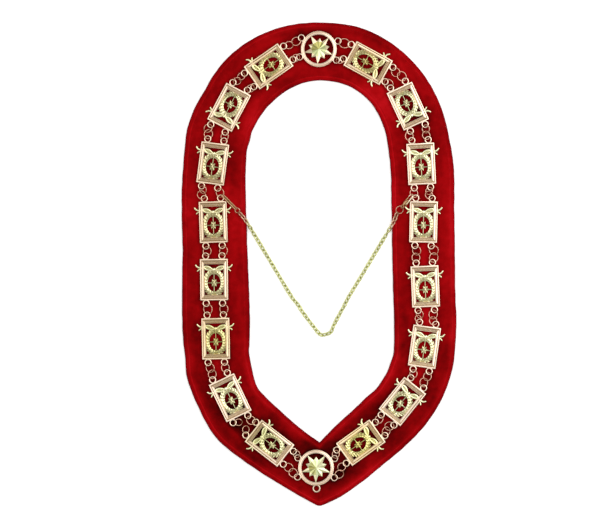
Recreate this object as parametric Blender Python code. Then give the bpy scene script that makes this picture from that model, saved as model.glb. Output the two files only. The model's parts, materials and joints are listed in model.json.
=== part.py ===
"""A chain of office laid flat on its padded velvet collar.

Sixteen openwork plaques and two round star medallions are joined by an outer and an inner
row of rings. A fine safety chain crosses the neck opening, and closes with a small clasp
whose sprung lever is hinged.

Lengths are in millimetres until a mesh is finished. +Z is up, +Y runs from the neck's
lowest point to the nape, and the origin is under the middle of the collar, on the surface
that it rests on."""

import math
from typing import NamedTuple

import bmesh
import bpy
from mathutils import Matrix, Vector

MM = 0.001

# Heights above the surface that the collar rests on.
VELVET_THICK = 4.0
GAP = 0.3
PLATE_BASE = VELVET_THICK + GAP
LUG_PLANE = 7.0

# Plaque, in its own frame: +y towards the bow, z from the underside.
PLAQUE_HALF = Vector((14.75, 21.9))
SIDE_BAR = 4.7
END_BAR = 5.7
FRAME_TOP = 3.3
LUG_Z = LUG_PLANE - PLATE_BASE
LUG_ACROSS = 8.6
LUG_BEYOND_END = 3.1

# Cast lugs and wire rings.
LUG_RADIUS = 3.2
LUG_HALF_WIDTH = 0.55
LUG_HALF_HEIGHT = 0.5
WIRE_RADIUS = 0.45
RING_DROP = LUG_PLANE - PLATE_BASE - 0.8 * WIRE_RADIUS
STEEPEST_RING = math.radians(30)
SECOND_RING_EASE = math.radians(2)
RING_SEGMENTS = 10
BEAD_OVERLAP = 0.2
TAUT, SLACK = 0.2, 1.8  # the least and the most between a ring and its lug's centre

# Medallion.
MEDALLION_OUTER = 19.3
MEDALLION_INNER = 15.4
MEDALLION_LUG_RADIUS = 21.8
MEDALLION_LUG_ANGLES = (27.5, 152.5, 207.5, 332.5)
STAR_RAYS = 5
STAR_LONG = 16.2
STAR_SHORT = 11.6
STAR_NOTCH = 8.2

# Safety chain and its rings.
CHAIN_RADIUS = 1.75
CHAIN_STEP = 7.5


class Link(NamedTuple):
    """A plaque or medallion of the chain: its centre, and its turn in degrees from +Y."""

    name: str
    x: float
    y: float
    turn: float


class Ring(NamedTuple):
    """A wire ring of a row: the radius of its wire's centre line, and how far it lies to
    the outer side of the straight line between the row's two lugs."""

    radius: float
    outwards: float


class Gap(NamedTuple):
    """The rings between one link and the next, in the outer and the inner row."""

    outer: tuple
    inner: tuple


class Station(NamedTuple):
    """One section across the velvet: where its outer and its inner edge are."""

    outer_x: float
    outer_y: float
    inner_x: float
    inner_y: float


# The links in order round the collar, from the nape down its left side.
LINKS = (
    Link("medallion_top", -0.2, 226.9, -5.0),
    Link("plaque_left_1", -53.0, 208.6, 124.8),
    Link("plaque_left_2", -94.7, 165.5, 152.2),
    Link("plaque_left_3", -111.9, 106.4, -7.5),
    Link("plaque_left_4", -111.4, 44.7, 1.9),
    Link("plaque_left_5", -110.5, -15.9, 0.7),
    Link("plaque_left_6", -108.7, -78.1, 1.3),
    Link("plaque_left_7", -93.5, -140.3, 25.6),
    Link("plaque_left_8", -52.1, -188.2, 52.2),
    Link("medallion_bottom", -3.1, -214.0, -1.0),
    Link("plaque_right_8", 44.0, -187.7, -54.3),
    Link("plaque_right_7", 87.8, -144.2, -38.6),
    Link("plaque_right_6", 111.0, -86.6, -7.9),
    Link("plaque_right_5", 111.9, -23.1, 2.4),
    Link("plaque_right_4", 110.0, 44.8, -1.1),
    Link("plaque_right_3", 107.6, 106.0, 2.9),
    Link("plaque_right_2", 93.5, 166.7, -155.3),
    Link("plaque_right_1", 51.7, 212.1, -118.8),
)

# The gap after each link, in the same order.
GAPS = (
    Gap(outer=(Ring(4.8, -1.0), Ring(4.2, -1.5)), inner=(Ring(3.9, 0.5),)),
    Gap(outer=(Ring(4.1, -0.4), Ring(4.1, -1.6)), inner=(Ring(4.1, 0.0),)),
    Gap(outer=(Ring(4.6, 2.0), Ring(4.8, 0.3)), inner=(Ring(4.4, -0.1),)),
    Gap(outer=(Ring(4.0, -0.7), Ring(4.6, 2.0)), inner=(Ring(4.6, -1.0),)),
    Gap(outer=(Ring(4.8, -1.6),), inner=(Ring(4.8, -1.6),)),
    Gap(outer=(Ring(5.2, -1.4),), inner=(Ring(5.0, -1.0),)),
    Gap(outer=(Ring(4.8, -0.7), Ring(4.6, -1.1)), inner=(Ring(4.6, 0.6),)),
    Gap(outer=(Ring(4.0, -4.4), Ring(4.0, -4.2)), inner=(Ring(4.7, 1.6),)),
    Gap(outer=(Ring(4.9, -1.2), Ring(4.7, -0.2)), inner=(Ring(4.0, -1.1),)),
    Gap(outer=(Ring(4.7, 1.8), Ring(4.4, -1.3)), inner=(Ring(4.2, 0.1),)),
    Gap(outer=(Ring(4.6, -1.9), Ring(4.8, -3.0)), inner=(Ring(4.4, 1.1),)),
    Gap(outer=(Ring(4.7, -1.7), Ring(4.5, -0.1)), inner=(Ring(4.3, 1.6),)),
    Gap(outer=(Ring(4.4, -2.4), Ring(4.8, -1.8)), inner=(Ring(3.7, -1.0), Ring(4.1, 1.2))),
    Gap(outer=(Ring(5.0, 1.7), Ring(5.0, 2.3)), inner=(Ring(4.7, 0.2), Ring(4.7, 1.5))),
    Gap(outer=(Ring(4.4, -2.6), Ring(4.0, -2.0)), inner=(Ring(4.7, -1.2),)),
    Gap(outer=(Ring(4.5, -1.1), Ring(4.3, -0.2)), inner=(Ring(4.8, -2.0),)),
    Gap(outer=(Ring(5.1, 0.7), Ring(4.7, -1.2)), inner=(Ring(5.1, 1.2),)),
    Gap(outer=(Ring(5.5, -0.6),), inner=(Ring(3.9, -0.8),)),
)
UNHOOKED = "plaque_left_7"  # the outer rings after this link hang loose, one on each lug

# The velvet's edges, clockwise from the point of the collar and back to it.
STATIONS = (
    Station(0.8, -255.0, 0.8, -188.0),
    Station(-29.8, -238.4, -18.5, -174.0),
    Station(-79.2, -206.9, -46.2, -149.6),
    Station(-103.5, -187.6, -57.5, -138.7),
    Station(-118.9, -166.9, -66.9, -125.8),
    Station(-137.6, -124.4, -73.3, -96.3),
    Station(-141.1, -97.0, -73.3, -83.5),
    Station(-143.6, -69.6, -73.1, -69.6),
    Station(-144.2, -27.0, -73.9, -27.0),
    Station(-143.8, 14.8, -75.4, 14.8),
    Station(-144.4, 80.0, -77.5, 80.0),
    Station(-140.7, 129.2, -76.5, 117.0),
    Station(-135.6, 152.0, -73.5, 129.5),
    Station(-124.7, 176.4, -69.0, 144.3),
    Station(-95.6, 218.4, -53.3, 167.8),
    Station(-51.7, 246.4, -29.6, 186.0),
    Station(0.0, 254.8, 0.0, 194.3),
    Station(51.7, 246.4, 30.7, 188.7),
    Station(95.2, 217.8, 55.1, 170.1),
    Station(124.3, 176.2, 68.8, 144.1),
    Station(138.2, 128.8, 74.1, 117.5),
    Station(142.2, 95.0, 76.2, 90.0),
    Station(142.4, 60.0, 76.7, 60.0),
    Station(143.3, 20.0, 77.3, 20.0),
    Station(143.5, -20.0, 78.3, -20.0),
    Station(144.5, -69.6, 79.4, -69.6),
    Station(138.1, -119.8, 77.5, -97.9),
    Station(114.6, -165.7, 65.6, -124.7),
    Station(77.0, -203.0, 44.0, -145.9),
    Station(30.1, -240.0, 17.7, -170.4),
)
SECTIONS_PER_STATION = 2
# Half of the velvet's section: how far in from its edge, and how high.
VELVET_EDGE = ((0.9, 0.0), (0.0, 1.2), (0.0, 2.8), (1.1, 4.0), (4.8, 3.5), (6.2, 4.0))

# The safety chain's route, from its left ring to its right ring.
LEFT_RING = Vector((-86.0, 57.0, 6.4))
LEFT_RING_RADIUS = 2.65
RIGHT_RING = Vector((85.0, 57.6, 7.1))
RIGHT_RING_RADIUS = 4.1
ON_VELVET = 6.25
ON_FLOOR = 1.95
CHAIN_ROUTE = (
    (-84.3, 55.0, 6.4),
    (-80.2, 50.2, ON_VELVET),
    (-76.5, 45.4, ON_VELVET),
    (-73.9, 41.2, 5.2),
    (-71.3, 37.0, 3.0),
    (-68.4, 32.0, ON_FLOOR),
    (-45.5, -6.3, ON_FLOOR),
    (-29.0, -33.8, ON_FLOOR),
    (-22.7, -41.6, ON_FLOOR),
    (-17.0, -50.6, ON_FLOOR),
    (-10.2, -60.0, ON_FLOOR),
    (-5.6, -67.4, ON_FLOOR),
    (-1.8, -72.2, ON_FLOOR),
    (2.2, -74.6, ON_FLOOR),
    (6.8, -74.0, ON_FLOOR),
    (10.9, -71.6, ON_FLOOR),
    (13.6, -68.0, ON_FLOOR),
    (15.8, -63.0, ON_FLOOR),
    (19.5, -55.9, ON_FLOOR),
    (23.9, -48.5, ON_FLOOR),
    (27.2, -42.6, ON_FLOOR),
    (31.1, -34.8, ON_FLOOR),
    (46.9, -8.6, ON_FLOOR),
    (69.2, 28.7, ON_FLOOR),
    (72.4, 34.0, 3.0),
    (75.2, 38.7, 5.2),
    (77.9, 43.2, ON_VELVET),
    (80.3, 48.6, ON_VELVET),
    (82.2, 54.2, 6.7),
)

# The teardrop link that hangs the safety chain's left end on its row of rings, from eye to eye.
TEARDROP_FROM = Vector((-101.2, 72.6, 8.85))
TEARDROP_TO = Vector((-87.85, 58.9, 6.5))
TEARDROP_WIDE = 2.1
TEARDROP_NARROW = 1.8
TEARDROP_EYE = 1.3
TEARDROP_HALF_THICK = 0.5
TEARDROP_ROLL = math.radians(46)

# The clasp, in its own frame: origin in the eye, +y towards the nose, +z through its thickness.
EYE = Vector((87.9, 61.0, 7.2))
CLASP_TURN = math.radians(50.4 - 90)
CLASP_PITCH = math.radians(7.5)
CLASP_ROLL = math.radians(-50)
PIVOT = Vector((-1.1, 4.6, 0.0))
CHEEK_TOP = 1.3
SLOT_HALF = 0.75
LEVER_HALF = 0.45
PIN_RADIUS = 0.5
LEVER_BORE = 0.85
LEVER_HUB = 1.5
HOOK_ROUTE = (
    # x, y, half width, half height
    (2.3, 5.0, 0.75, 0.9),
    (2.6, 9.0, 0.75, 0.8),
    (2.6, 12.6, 0.65, 0.6),
    (2.1, 15.2, 0.6, 0.5),
    (0.0, 16.7, 0.65, 0.5),
    (-2.1, 15.2, 0.6, 0.5),
    (-2.5, 13.6, 0.6, 0.5),
    (-2.5, 12.2, 0.6, 0.5),
)
BASE_OUTLINE = (
    (-0.8, 1.2),
    (0.8, 1.2),
    (2.8, 3.4),
    (3.2, 6.0),
    (3.0, 8.8),
    (2.0, 10.0),
    (0.4, 9.5),
    (-0.6, 8.2),
    (-1.7, 6.9),
    (-2.6, 6.3),
    (-2.8, 3.6),
)
SLOT_OUTLINE = ((-5.0, 2.7), (1.2, 2.7), (1.2, 11.0), (-5.0, 11.0))
LEVER_ARM = ((-1.0, 0.3), (-2.0, 2.2), (-2.0, 7.2), (-0.8, 7.2), (-0.7, 2.0), (0.6, 1.2), (0.4, 1.0))
LEVER_TAB = ((-1.0, -0.8), (-2.5, -1.6), (-2.9, -0.6), (-1.1, 0.7))


# Meshes ---------------------------------------------------------------------------------


def loft(bm, sections, closed):
    """Skins sections of equal length, joined end to end, or capped where it isn't closed."""
    rows = [[bm.verts.new(point) for point in section] for section in sections]
    count = len(rows[0])
    pairs = list(zip(rows, rows[1:]))
    if closed:
        pairs.append((rows[-1], rows[0]))
    for near, far in pairs:
        for i in range(count):
            j = (i + 1) % count
            bm.faces.new((near[i], near[j], far[j], far[i]))
    if not closed:
        bm.faces.new(reversed(rows[0]))
        bm.faces.new(rows[-1])


def prism(bm, outline, low, high):
    """Raises a flat outline from one height to another."""
    loft(bm, [[(x, y, z) for x, y in outline] for z in (low, high)], closed=False)


def hoop(bm, radius, half_width, half_height, segments, place=Matrix()):
    """A ring of wire or cast band: its inner edge is a ridge, its outer face upright."""
    section = ((radius - half_width, 0.0), (radius + half_width, half_height), (radius + half_width, -half_height))
    sections = []
    for step in range(segments):
        turned = place @ Matrix.Rotation(2 * math.pi * step / segments, 4, "Z")
        sections.append([turned @ Vector((out, 0.0, up)) for out, up in section])
    loft(bm, sections, closed=True)


def finished_mesh(name, bm):
    """The mesh in metres, with its faces turned outwards."""
    bmesh.ops.recalc_face_normals(bm, faces=bm.faces)
    bmesh.ops.scale(bm, vec=(MM, MM, MM), verts=bm.verts)
    mesh = bpy.data.meshes.new(name)
    bm.to_mesh(mesh)
    bm.free()
    return mesh


def mesh_of(name, draw, *args, **kwargs):
    """The finished mesh of one drawing function."""
    bm = bmesh.new()
    draw(bm, *args, **kwargs)
    return finished_mesh(name, bm)


def combined(name, base, steps):
    """One mesh from a base and a list of (operation, mesh), by Boolean modifiers."""
    body = bpy.data.objects.new(name, base)
    helpers = [body]
    bpy.context.scene.collection.objects.link(body)
    for operation, mesh in steps:
        tool = bpy.data.objects.new(name + "_tool", mesh)
        bpy.context.scene.collection.objects.link(tool)
        helpers.append(tool)
        modifier = body.modifiers.new(operation.title(), "BOOLEAN")
        modifier.operation = operation
        modifier.object = tool
    bpy.context.view_layer.update()
    evaluated = body.evaluated_get(bpy.context.evaluated_depsgraph_get())
    mesh = bpy.data.meshes.new_from_object(evaluated)
    mesh.name = name
    for helper in helpers:
        bpy.data.objects.remove(helper)
    return mesh


def joined(name, *meshes):
    """One mesh from several that overlap."""
    return combined(name, meshes[0], [("UNION", mesh) for mesh in meshes[1:]])


def finish(name, colour, roughness, metallic):
    """A plain Principled material."""
    material = bpy.data.materials.new(name)
    material.use_nodes = True
    shader = material.node_tree.nodes["Principled BSDF"]
    shader.inputs["Base Color"].default_value = (*colour, 1.0)
    shader.inputs["Roughness"].default_value = roughness
    shader.inputs["Metallic"].default_value = metallic
    return material


def placed(name, mesh, material, location=(0.0, 0.0, 0.0), turn=0.0, parent=None):
    """An object at a place in millimetres, turned about +Z."""
    obj = bpy.data.objects.new(name, mesh)
    if not mesh.materials:
        mesh.materials.append(material)
    obj.location = Vector(location) * MM
    obj.rotation_euler.z = turn
    obj.parent = parent
    bpy.context.scene.collection.objects.link(obj)
    return obj


# Smooth routes --------------------------------------------------------------------------


def between(before, start, end, after, share):
    """A point on the Catmull-Rom curve from start to end."""
    a, b, c, d = (Vector(point) for point in (before, start, end, after))
    return 0.5 * (
        2 * b
        + (c - a) * share
        + (2 * a - 5 * b + 4 * c - d) * share**2
        + (3 * b - 3 * c + d - a) * share**3
    )


def smooth_route(points, steps):
    """Points on a smooth open curve through the given ones, with steps to each span."""
    points = [Vector(point) for point in points]
    padded = [2 * points[0] - points[1], *points, 2 * points[-1] - points[-2]]
    route = []
    for i in range(len(points) - 1):
        for step in range(steps):
            route.append(between(*padded[i : i + 4], step / steps))
    route.append(points[-1])
    return route


def evenly(route, spacing):
    """The same route with its points about one spacing apart."""
    lengths = [0.0]
    for near, far in zip(route, route[1:]):
        lengths.append(lengths[-1] + (far - near).length)
    count = round(lengths[-1] / spacing)
    even = []
    i = 0
    for step in range(count + 1):
        target = lengths[-1] * step / count
        while i < len(route) - 2 and lengths[i + 1] < target:
            i += 1
        share = (target - lengths[i]) / (lengths[i + 1] - lengths[i])
        even.append(route[i].lerp(route[i + 1], share))
    return even


# Velvet collar --------------------------------------------------------------------------


def draw_velvet(bm):
    """The padded band: a rounded edge, a sewn line inside each edge, and a flat underside.
    It is smooth all round but for its point."""
    points = [*STATIONS, STATIONS[0]]
    outer = smooth_route([(s.outer_x, s.outer_y, 0.0) for s in points], SECTIONS_PER_STATION)
    inner = smooth_route([(s.inner_x, s.inner_y, 0.0) for s in points], SECTIONS_PER_STATION)
    sections = []
    for out, into in zip(outer[:-1], inner[:-1]):
        across = (into - out).normalized()
        half = [out + across * inset + Vector((0.0, 0.0, up)) for inset, up in VELVET_EDGE]
        mirrored = [into - across * inset + Vector((0.0, 0.0, up)) for inset, up in reversed(VELVET_EDGE)]
        sections.append(half + mirrored)
    loft(bm, sections, closed=True)


# Plaque ---------------------------------------------------------------------------------


# The frame's section: the share of its width from outside, and the height.
FRAME_PROFILE = ((0, 0), (0, FRAME_TOP), (0.3, FRAME_TOP), (0.38, 2.4), (0.5, 3.1), (1, 3.1), (1, 0))


def draw_frame(bm):
    """The rectangular frame: a thin outer rail, a groove and a broad inner rail."""
    sections = []
    for sx, sy in ((1, 1), (-1, 1), (-1, -1), (1, -1)):
        corner = [
            (sx * (PLAQUE_HALF.x - SIDE_BAR * inwards), sy * (PLAQUE_HALF.y - END_BAR * inwards), up)
            for inwards, up in FRAME_PROFILE
        ]
        sections.append(corner)
    loft(bm, sections, closed=True)


WREATH_CENTRE = Vector((0.0, -3.4))
WREATH_OUTER = Vector((10.8, 13.2))
WREATH_INNER = Vector((7.7, 9.6))
WREATH_SEGMENTS = 12
WREATH_EDGE, WREATH_RIDGE = 0.4, 2.9  # heights
ROSETTE_EDGE, ROSETTE_CROWN = 0.7, 2.8
STEM_HEIGHTS = (0.8, 1.6)
BOW_HEIGHTS = (0.5, 2.8)
TAIL_HEIGHTS = (0.8, 2.2)
ROSETTE_REACH = 4.4
ROSETTE_NOTCH = 2.4
STEM_HALF = 0.5
# The right half of the bow, its loop and knot, and its forked tail.
BOW_OUTLINE = (
    (0.0, 8.6),
    (2.0, 8.6),
    (8.2, 10.6),
    (10.6, 12.6),
    (9.4, 14.6),
    (5.0, 14.4),
    (1.8, 12.2),
    (0.0, 12.2),
)
TAIL_OUTLINE = ((9.0, 10.6), (17.6, 8.8), (16.4, 11.8), (19.2, 14.8), (9.0, 13.4))


def draw_wreath(bm):
    """The oval wreath, a crowned band that meets the frame on three sides."""
    sections = []
    for step in range(WREATH_SEGMENTS):
        angle = 2 * math.pi * step / WREATH_SEGMENTS
        section = []
        for inwards, up in ((0.0, WREATH_EDGE), (0.5, WREATH_RIDGE), (1.0, WREATH_EDGE)):
            reach = WREATH_OUTER.lerp(WREATH_INNER, inwards)
            x = WREATH_CENTRE.x + reach.x * math.cos(angle)
            y = WREATH_CENTRE.y + reach.y * math.sin(angle)
            section.append((x, y, up))
        sections.append(section)
    loft(bm, sections, closed=True)


def draw_rosette(bm):
    """The six-petalled rosette in the wreath's opening."""
    petals = 6
    low = []
    for step in range(2 * petals):
        angle = math.pi * step / petals
        reach = ROSETTE_NOTCH if step % 2 else ROSETTE_REACH
        x = reach * math.cos(angle)
        y = WREATH_CENTRE.y + reach * math.sin(angle)
        low.append(bm.verts.new((x, y, ROSETTE_EDGE)))
    crown = bm.verts.new((0.0, WREATH_CENTRE.y, ROSETTE_CROWN))
    bm.faces.new(reversed(low))
    for near, far in zip(low, [*low[1:], low[0]]):
        bm.faces.new((near, far, crown))


def draw_stems(bm):
    """The thin cross that holds the rosette in the wreath."""
    across = (WREATH_OUTER.x + WREATH_INNER.x) / 2
    along = (WREATH_OUTER.y + WREATH_INNER.y) / 2
    arms = ((across, STEM_HALF), (STEM_HALF, STEM_HALF), (STEM_HALF, along))
    outline = []
    for sx, sy, corners in ((1, 1, arms), (-1, 1, arms[::-1]), (-1, -1, arms), (1, -1, arms[::-1])):
        outline += [(sx * x, WREATH_CENTRE.y + sy * y) for x, y in corners]
    prism(bm, outline, *STEM_HEIGHTS)


def draw_bow(bm):
    """The bow's two loops and its knot, which ties the wreath's top to the frame."""
    mirrored = [(-x, y) for x, y in BOW_OUTLINE[-2:0:-1]]
    prism(bm, [*BOW_OUTLINE, *mirrored], *BOW_HEIGHTS)


def draw_tail(bm, side):
    """The forked ribbon end that runs out past the frame on one side."""
    prism(bm, [(side * x, y) for x, y in TAIL_OUTLINE], *TAIL_HEIGHTS)


def lug_mesh(x, y):
    """A cast lug, whose hole takes the wire rings."""
    place = Matrix.Translation((x, y, LUG_Z))
    return mesh_of("lug", hoop, LUG_RADIUS, LUG_HALF_WIDTH, LUG_HALF_HEIGHT, 8, place)


def plaque_lugs():
    """The four lugs' centres."""
    reach = PLAQUE_HALF.y + LUG_BEYOND_END
    return [Vector((sx * LUG_ACROSS, sy * reach, LUG_Z)) for sx in (-1, 1) for sy in (-1, 1)]


def plaque_mesh():
    """A whole plaque, one casting."""
    return joined(
        "plaque",
        mesh_of("frame", draw_frame),
        mesh_of("wreath", draw_wreath),
        mesh_of("stems", draw_stems),
        mesh_of("rosette", draw_rosette),
        mesh_of("bow", draw_bow),
        mesh_of("tail_right", draw_tail, 1),
        mesh_of("tail_left", draw_tail, -1),
        *(lug_mesh(lug.x, lug.y) for lug in plaque_lugs()),
    )


# Medallion ------------------------------------------------------------------------------


# The rim's section: the share of its width from outside, and the height.
RIM_PROFILE = ((0, 0), (0, 2.6), (0.25, 3.2), (0.75, 3.2), (1, 2.6), (1, 0))
RIM_SEGMENTS = 24
STAR_BASE, STAR_CROWN = 0.5, 3.4
# The star's points in turn round it: how far out each is, and how high its edge is.
STAR_POINTS = ((STAR_LONG, 1.5), (STAR_NOTCH, 1.1), (STAR_SHORT, 1.5), (STAR_NOTCH, 1.1))


def draw_rim(bm):
    """The medallion's round rim."""
    width = MEDALLION_OUTER - MEDALLION_INNER
    sections = []
    for step in range(RIM_SEGMENTS):
        angle = 2 * math.pi * step / RIM_SEGMENTS
        section = []
        for inwards, up in RIM_PROFILE:
            reach = MEDALLION_OUTER - width * inwards
            section.append((reach * math.cos(angle), reach * math.sin(angle), up))
        sections.append(section)
    loft(bm, sections, closed=True)


def draw_star(bm):
    """The ridged star: long rays run into the rim, with a short ray between each two."""
    points = 4 * STAR_RAYS
    low, high = [], []
    for step in range(points):
        angle = 2 * math.pi * step / points - math.pi / 2
        reach, up = STAR_POINTS[step % 4]
        x, y = reach * math.cos(angle), reach * math.sin(angle)
        low.append(bm.verts.new((x, y, STAR_BASE)))
        high.append(bm.verts.new((x, y, up)))
    crown = bm.verts.new((0.0, 0.0, STAR_CROWN))
    bm.faces.new(reversed(low))
    for i in range(points):
        j = (i + 1) % points
        bm.faces.new((low[i], low[j], high[j], high[i]))
        bm.faces.new((high[i], high[j], crown))


def medallion_lugs():
    """The four lugs' centres."""
    angles = [math.radians(angle) for angle in MEDALLION_LUG_ANGLES]
    return [
        Vector((MEDALLION_LUG_RADIUS * math.cos(a), MEDALLION_LUG_RADIUS * math.sin(a), LUG_Z)) for a in angles
    ]


def medallion_mesh(name, with_jewel_ring):
    """A whole medallion, one casting. The lower one has a stouter ring for a jewel."""
    pieces = [mesh_of("star", draw_star)]
    pieces += [lug_mesh(lug.x, lug.y) for lug in medallion_lugs()]
    if with_jewel_ring:
        place = Matrix.Translation((0.9, -MEDALLION_LUG_RADIUS, 1.6))
        pieces.append(mesh_of("jewel_ring", hoop, 3.5, 0.9, 0.9, 14, place))
    return joined(name, mesh_of("rim", draw_rim), *pieces)


# Rows of rings --------------------------------------------------------------------------


def lugs_of(link):
    """The centres of a link's lugs on the finished collar."""
    own = medallion_lugs() if link.name.startswith("medallion") else plaque_lugs()
    place = Matrix.Translation((link.x, link.y, PLATE_BASE)) @ Matrix.Rotation(math.radians(link.turn), 4, "Z")
    return [place @ lug for lug in own]


def facing_lugs(link, other):
    """A link's two lugs nearest to the other link, the outer one first."""
    towards = Vector((other.x, other.y, LUG_PLANE))
    nearest = sorted(lugs_of(link), key=lambda lug: (lug - towards).length)[:2]
    middle = Vector((link.x + other.x, link.y + other.y, 0.0)) / 2
    outwards = middle.normalized()
    return sorted(nearest, key=lambda lug: -lug.dot(outwards))


def ring_tilt(radius, aside=0.0):
    """How steeply a ring lies, to pass over one side of a lug and under the other and
    still clear the velvet. A ring that lies aside of its row's line is lifted on that side."""
    reach = radius + WIRE_RADIUS - abs(aside)
    return min(STEEPEST_RING, math.asin(RING_DROP / reach))


def ring_centres(rings, start, end):
    """Where the rings of a row lie between the centres of its two lugs."""
    along = (end - start).normalized()
    outwards = Vector((-along.y, along.x, 0.0))
    if outwards.dot(start + end) < 0:
        outwards.negate()
    span = (end - start).length
    if len(rings) == 1:
        return [(start + end) / 2 + outwards * rings[0].outwards]
    slack = (span - 1.75 * (rings[0].radius + rings[1].radius)) / 2
    slack = max(TAUT, min(SLACK, slack))
    centres = []
    for ring, lug, direction in ((rings[0], start, along), (rings[1], end, -along)):
        reach = ring.radius + slack
        forward = math.sqrt(reach**2 - ring.outwards**2)
        centres.append(lug + direction * forward + outwards * ring.outwards)
    return centres


def draw_ring(bm, ring, centre, lug, tilt):
    """A wire ring at a place in the collar, tilted about the line from its lug."""
    along = centre - lug
    turn = math.atan2(along.y, along.x)
    place = Matrix.Translation(centre) @ Matrix.Rotation(turn, 4, "Z") @ Matrix.Rotation(tilt, 4, "X")
    hoop(bm, ring.radius, WIRE_RADIUS, WIRE_RADIUS, RING_SEGMENTS, place)


def wire_height(point, centre, lug, tilt):
    """How high a tilted ring's plane is over a point."""
    along = (centre - lug).normalized()
    left = Vector((-along.y, along.x, 0.0))
    return left.dot(point - centre) * math.tan(tilt)


def draw_bead(bm, rings, centres, lugs, tilts):
    """The bead of solder that joins two rings where they cross at the nearest heights."""
    apart = centres[1] - centres[0]
    apart.z = 0.0
    distance = apart.length
    along = apart / distance
    first, second = (ring.radius * math.cos(math.pi / RING_SEGMENTS / 2) for ring in rings)
    forward = (distance**2 + first**2 - second**2) / (2 * distance)
    aside = math.sqrt(max(0.0, first**2 - forward**2))
    crossings = []
    for side in (-1, 1):
        point = centres[0] + along * forward + Vector((-along.y, along.x, 0.0)) * aside * side
        heights = (
            wire_height(point, centres[0], lugs[0], tilts[0]),
            wire_height(point, centres[1], 2 * centres[1] - lugs[1], tilts[1]),
        )
        crossings.append((max(heights) - min(heights), point, heights))
    _, point, heights = min(crossings, key=lambda crossing: crossing[0])
    quarters = ((1, 0), (0, 1), (-1, 0), (0, -1))
    corners = [(point.x + x * WIRE_RADIUS, point.y + y * WIRE_RADIUS) for x, y in quarters]
    prism(bm, corners, min(heights) - BEAD_OVERLAP, max(heights) + BEAD_OVERLAP)


def build_ring_row(name, rings, start, end, raised_side, material):
    """One row of rings as one object, at the middle of its two lugs. raised_side is 1 where
    its side to the left of start to end is the higher one. The collar runs anticlockwise
    from start to end, so a positive offset lies to the right."""
    middle = (start + end) / 2
    first = start - middle
    last = end - middle
    centres = [centre - middle for centre in ring_centres(rings, start, end)]
    if len(rings) == 1:
        aside = rings[0].outwards
        tilt = math.copysign(ring_tilt(rings[0].radius, aside), -aside)
        centres[0].z = abs(aside) * math.tan(abs(tilt))
        mesh = mesh_of(name, draw_ring, rings[0], centres[0], centres[0] - (end - start), tilt)
        return placed(name, mesh, material, middle)
    tilts = [raised_side * ring_tilt(ring.radius) for ring in rings]
    eased = tilts[1] - raised_side * SECOND_RING_EASE
    meshes = [
        mesh_of("ring", draw_ring, rings[0], centres[0], first, tilts[0]),
        mesh_of("ring", draw_ring, rings[1], centres[1], 2 * centres[1] - last, eased),
    ]
    if name.endswith(UNHOOKED + "_outer"):
        placed(name + "_loose", meshes[1], material, middle)
        return placed(name, meshes[0], material, middle)
    meshes.append(mesh_of("bead", draw_bead, rings, centres, (first, last), tilts))
    return placed(name, joined(name, *meshes), material, middle)


# Safety chain ---------------------------------------------------------------------------


def upright_ring(centre, radius, towards, tilt):
    """A ring of the safety chain, tilted about the line towards a neighbour."""
    along = towards - centre
    turn = math.atan2(along.y, along.x)
    place = Matrix.Translation(centre) @ Matrix.Rotation(turn, 4, "Z") @ Matrix.Rotation(tilt, 4, "X")
    return mesh_of("chain_ring", hoop, radius, WIRE_RADIUS, WIRE_RADIUS, 12, place)


def chain_tube():
    """The run of small links as one tube along its route."""
    curve = bpy.data.curves.new("safety_chain", "CURVE")
    curve.dimensions = "3D"
    curve.bevel_depth = CHAIN_RADIUS * MM
    curve.bevel_resolution = 2
    curve.use_fill_caps = True
    route = evenly(smooth_route(CHAIN_ROUTE, 8), CHAIN_STEP)
    spline = curve.splines.new("POLY")
    spline.points.add(len(route) - 1)
    for point, place in zip(spline.points, route):
        point.co = (*(place * MM), 1.0)
    guide = bpy.data.objects.new("safety_chain_guide", curve)
    bpy.context.scene.collection.objects.link(guide)
    bpy.context.view_layer.update()
    mesh = bpy.data.meshes.new_from_object(guide.evaluated_get(bpy.context.evaluated_depsgraph_get()))
    bpy.data.objects.remove(guide)
    bm = bmesh.new()
    bm.from_mesh(mesh)
    bmesh.ops.remove_doubles(bm, verts=bm.verts, dist=0.01 * MM)
    bmesh.ops.recalc_face_normals(bm, faces=bm.faces)
    bm.to_mesh(mesh)
    bm.free()
    return mesh


def build_safety_chain(material):
    """The chain with the ring at each of its ends."""
    left = upright_ring(LEFT_RING, LEFT_RING_RADIUS, TEARDROP_FROM, math.radians(-25))
    right = upright_ring(RIGHT_RING, RIGHT_RING_RADIUS, EYE, math.radians(26))
    return placed("safety_chain", joined("safety_chain", chain_tube(), left, right), material)


def draw_teardrop(bm, half):
    """The teardrop link's plate, from its wide end at -half on X to its narrow end at half."""
    corners_per_end = 8
    outline = []
    for centre, radius, start in ((-half, TEARDROP_WIDE, 90), (half, TEARDROP_NARROW, 270)):
        for step in range(corners_per_end + 1):
            angle = math.radians(start + 180 * step / corners_per_end)
            outline.append((centre + radius * math.cos(angle), radius * math.sin(angle)))
    prism(bm, outline, -TEARDROP_HALF_THICK, TEARDROP_HALF_THICK)


def teardrop_mesh(half):
    """The teardrop link, with a round eye through each end."""
    steps = [
        ("DIFFERENCE", mesh_of("eye", draw_round_bar, TEARDROP_EYE, -1.0, 1.0, (x, 0.0))) for x in (-half, half)
    ]
    return combined("teardrop_link", mesh_of("plate", draw_teardrop, half), steps)


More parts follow.
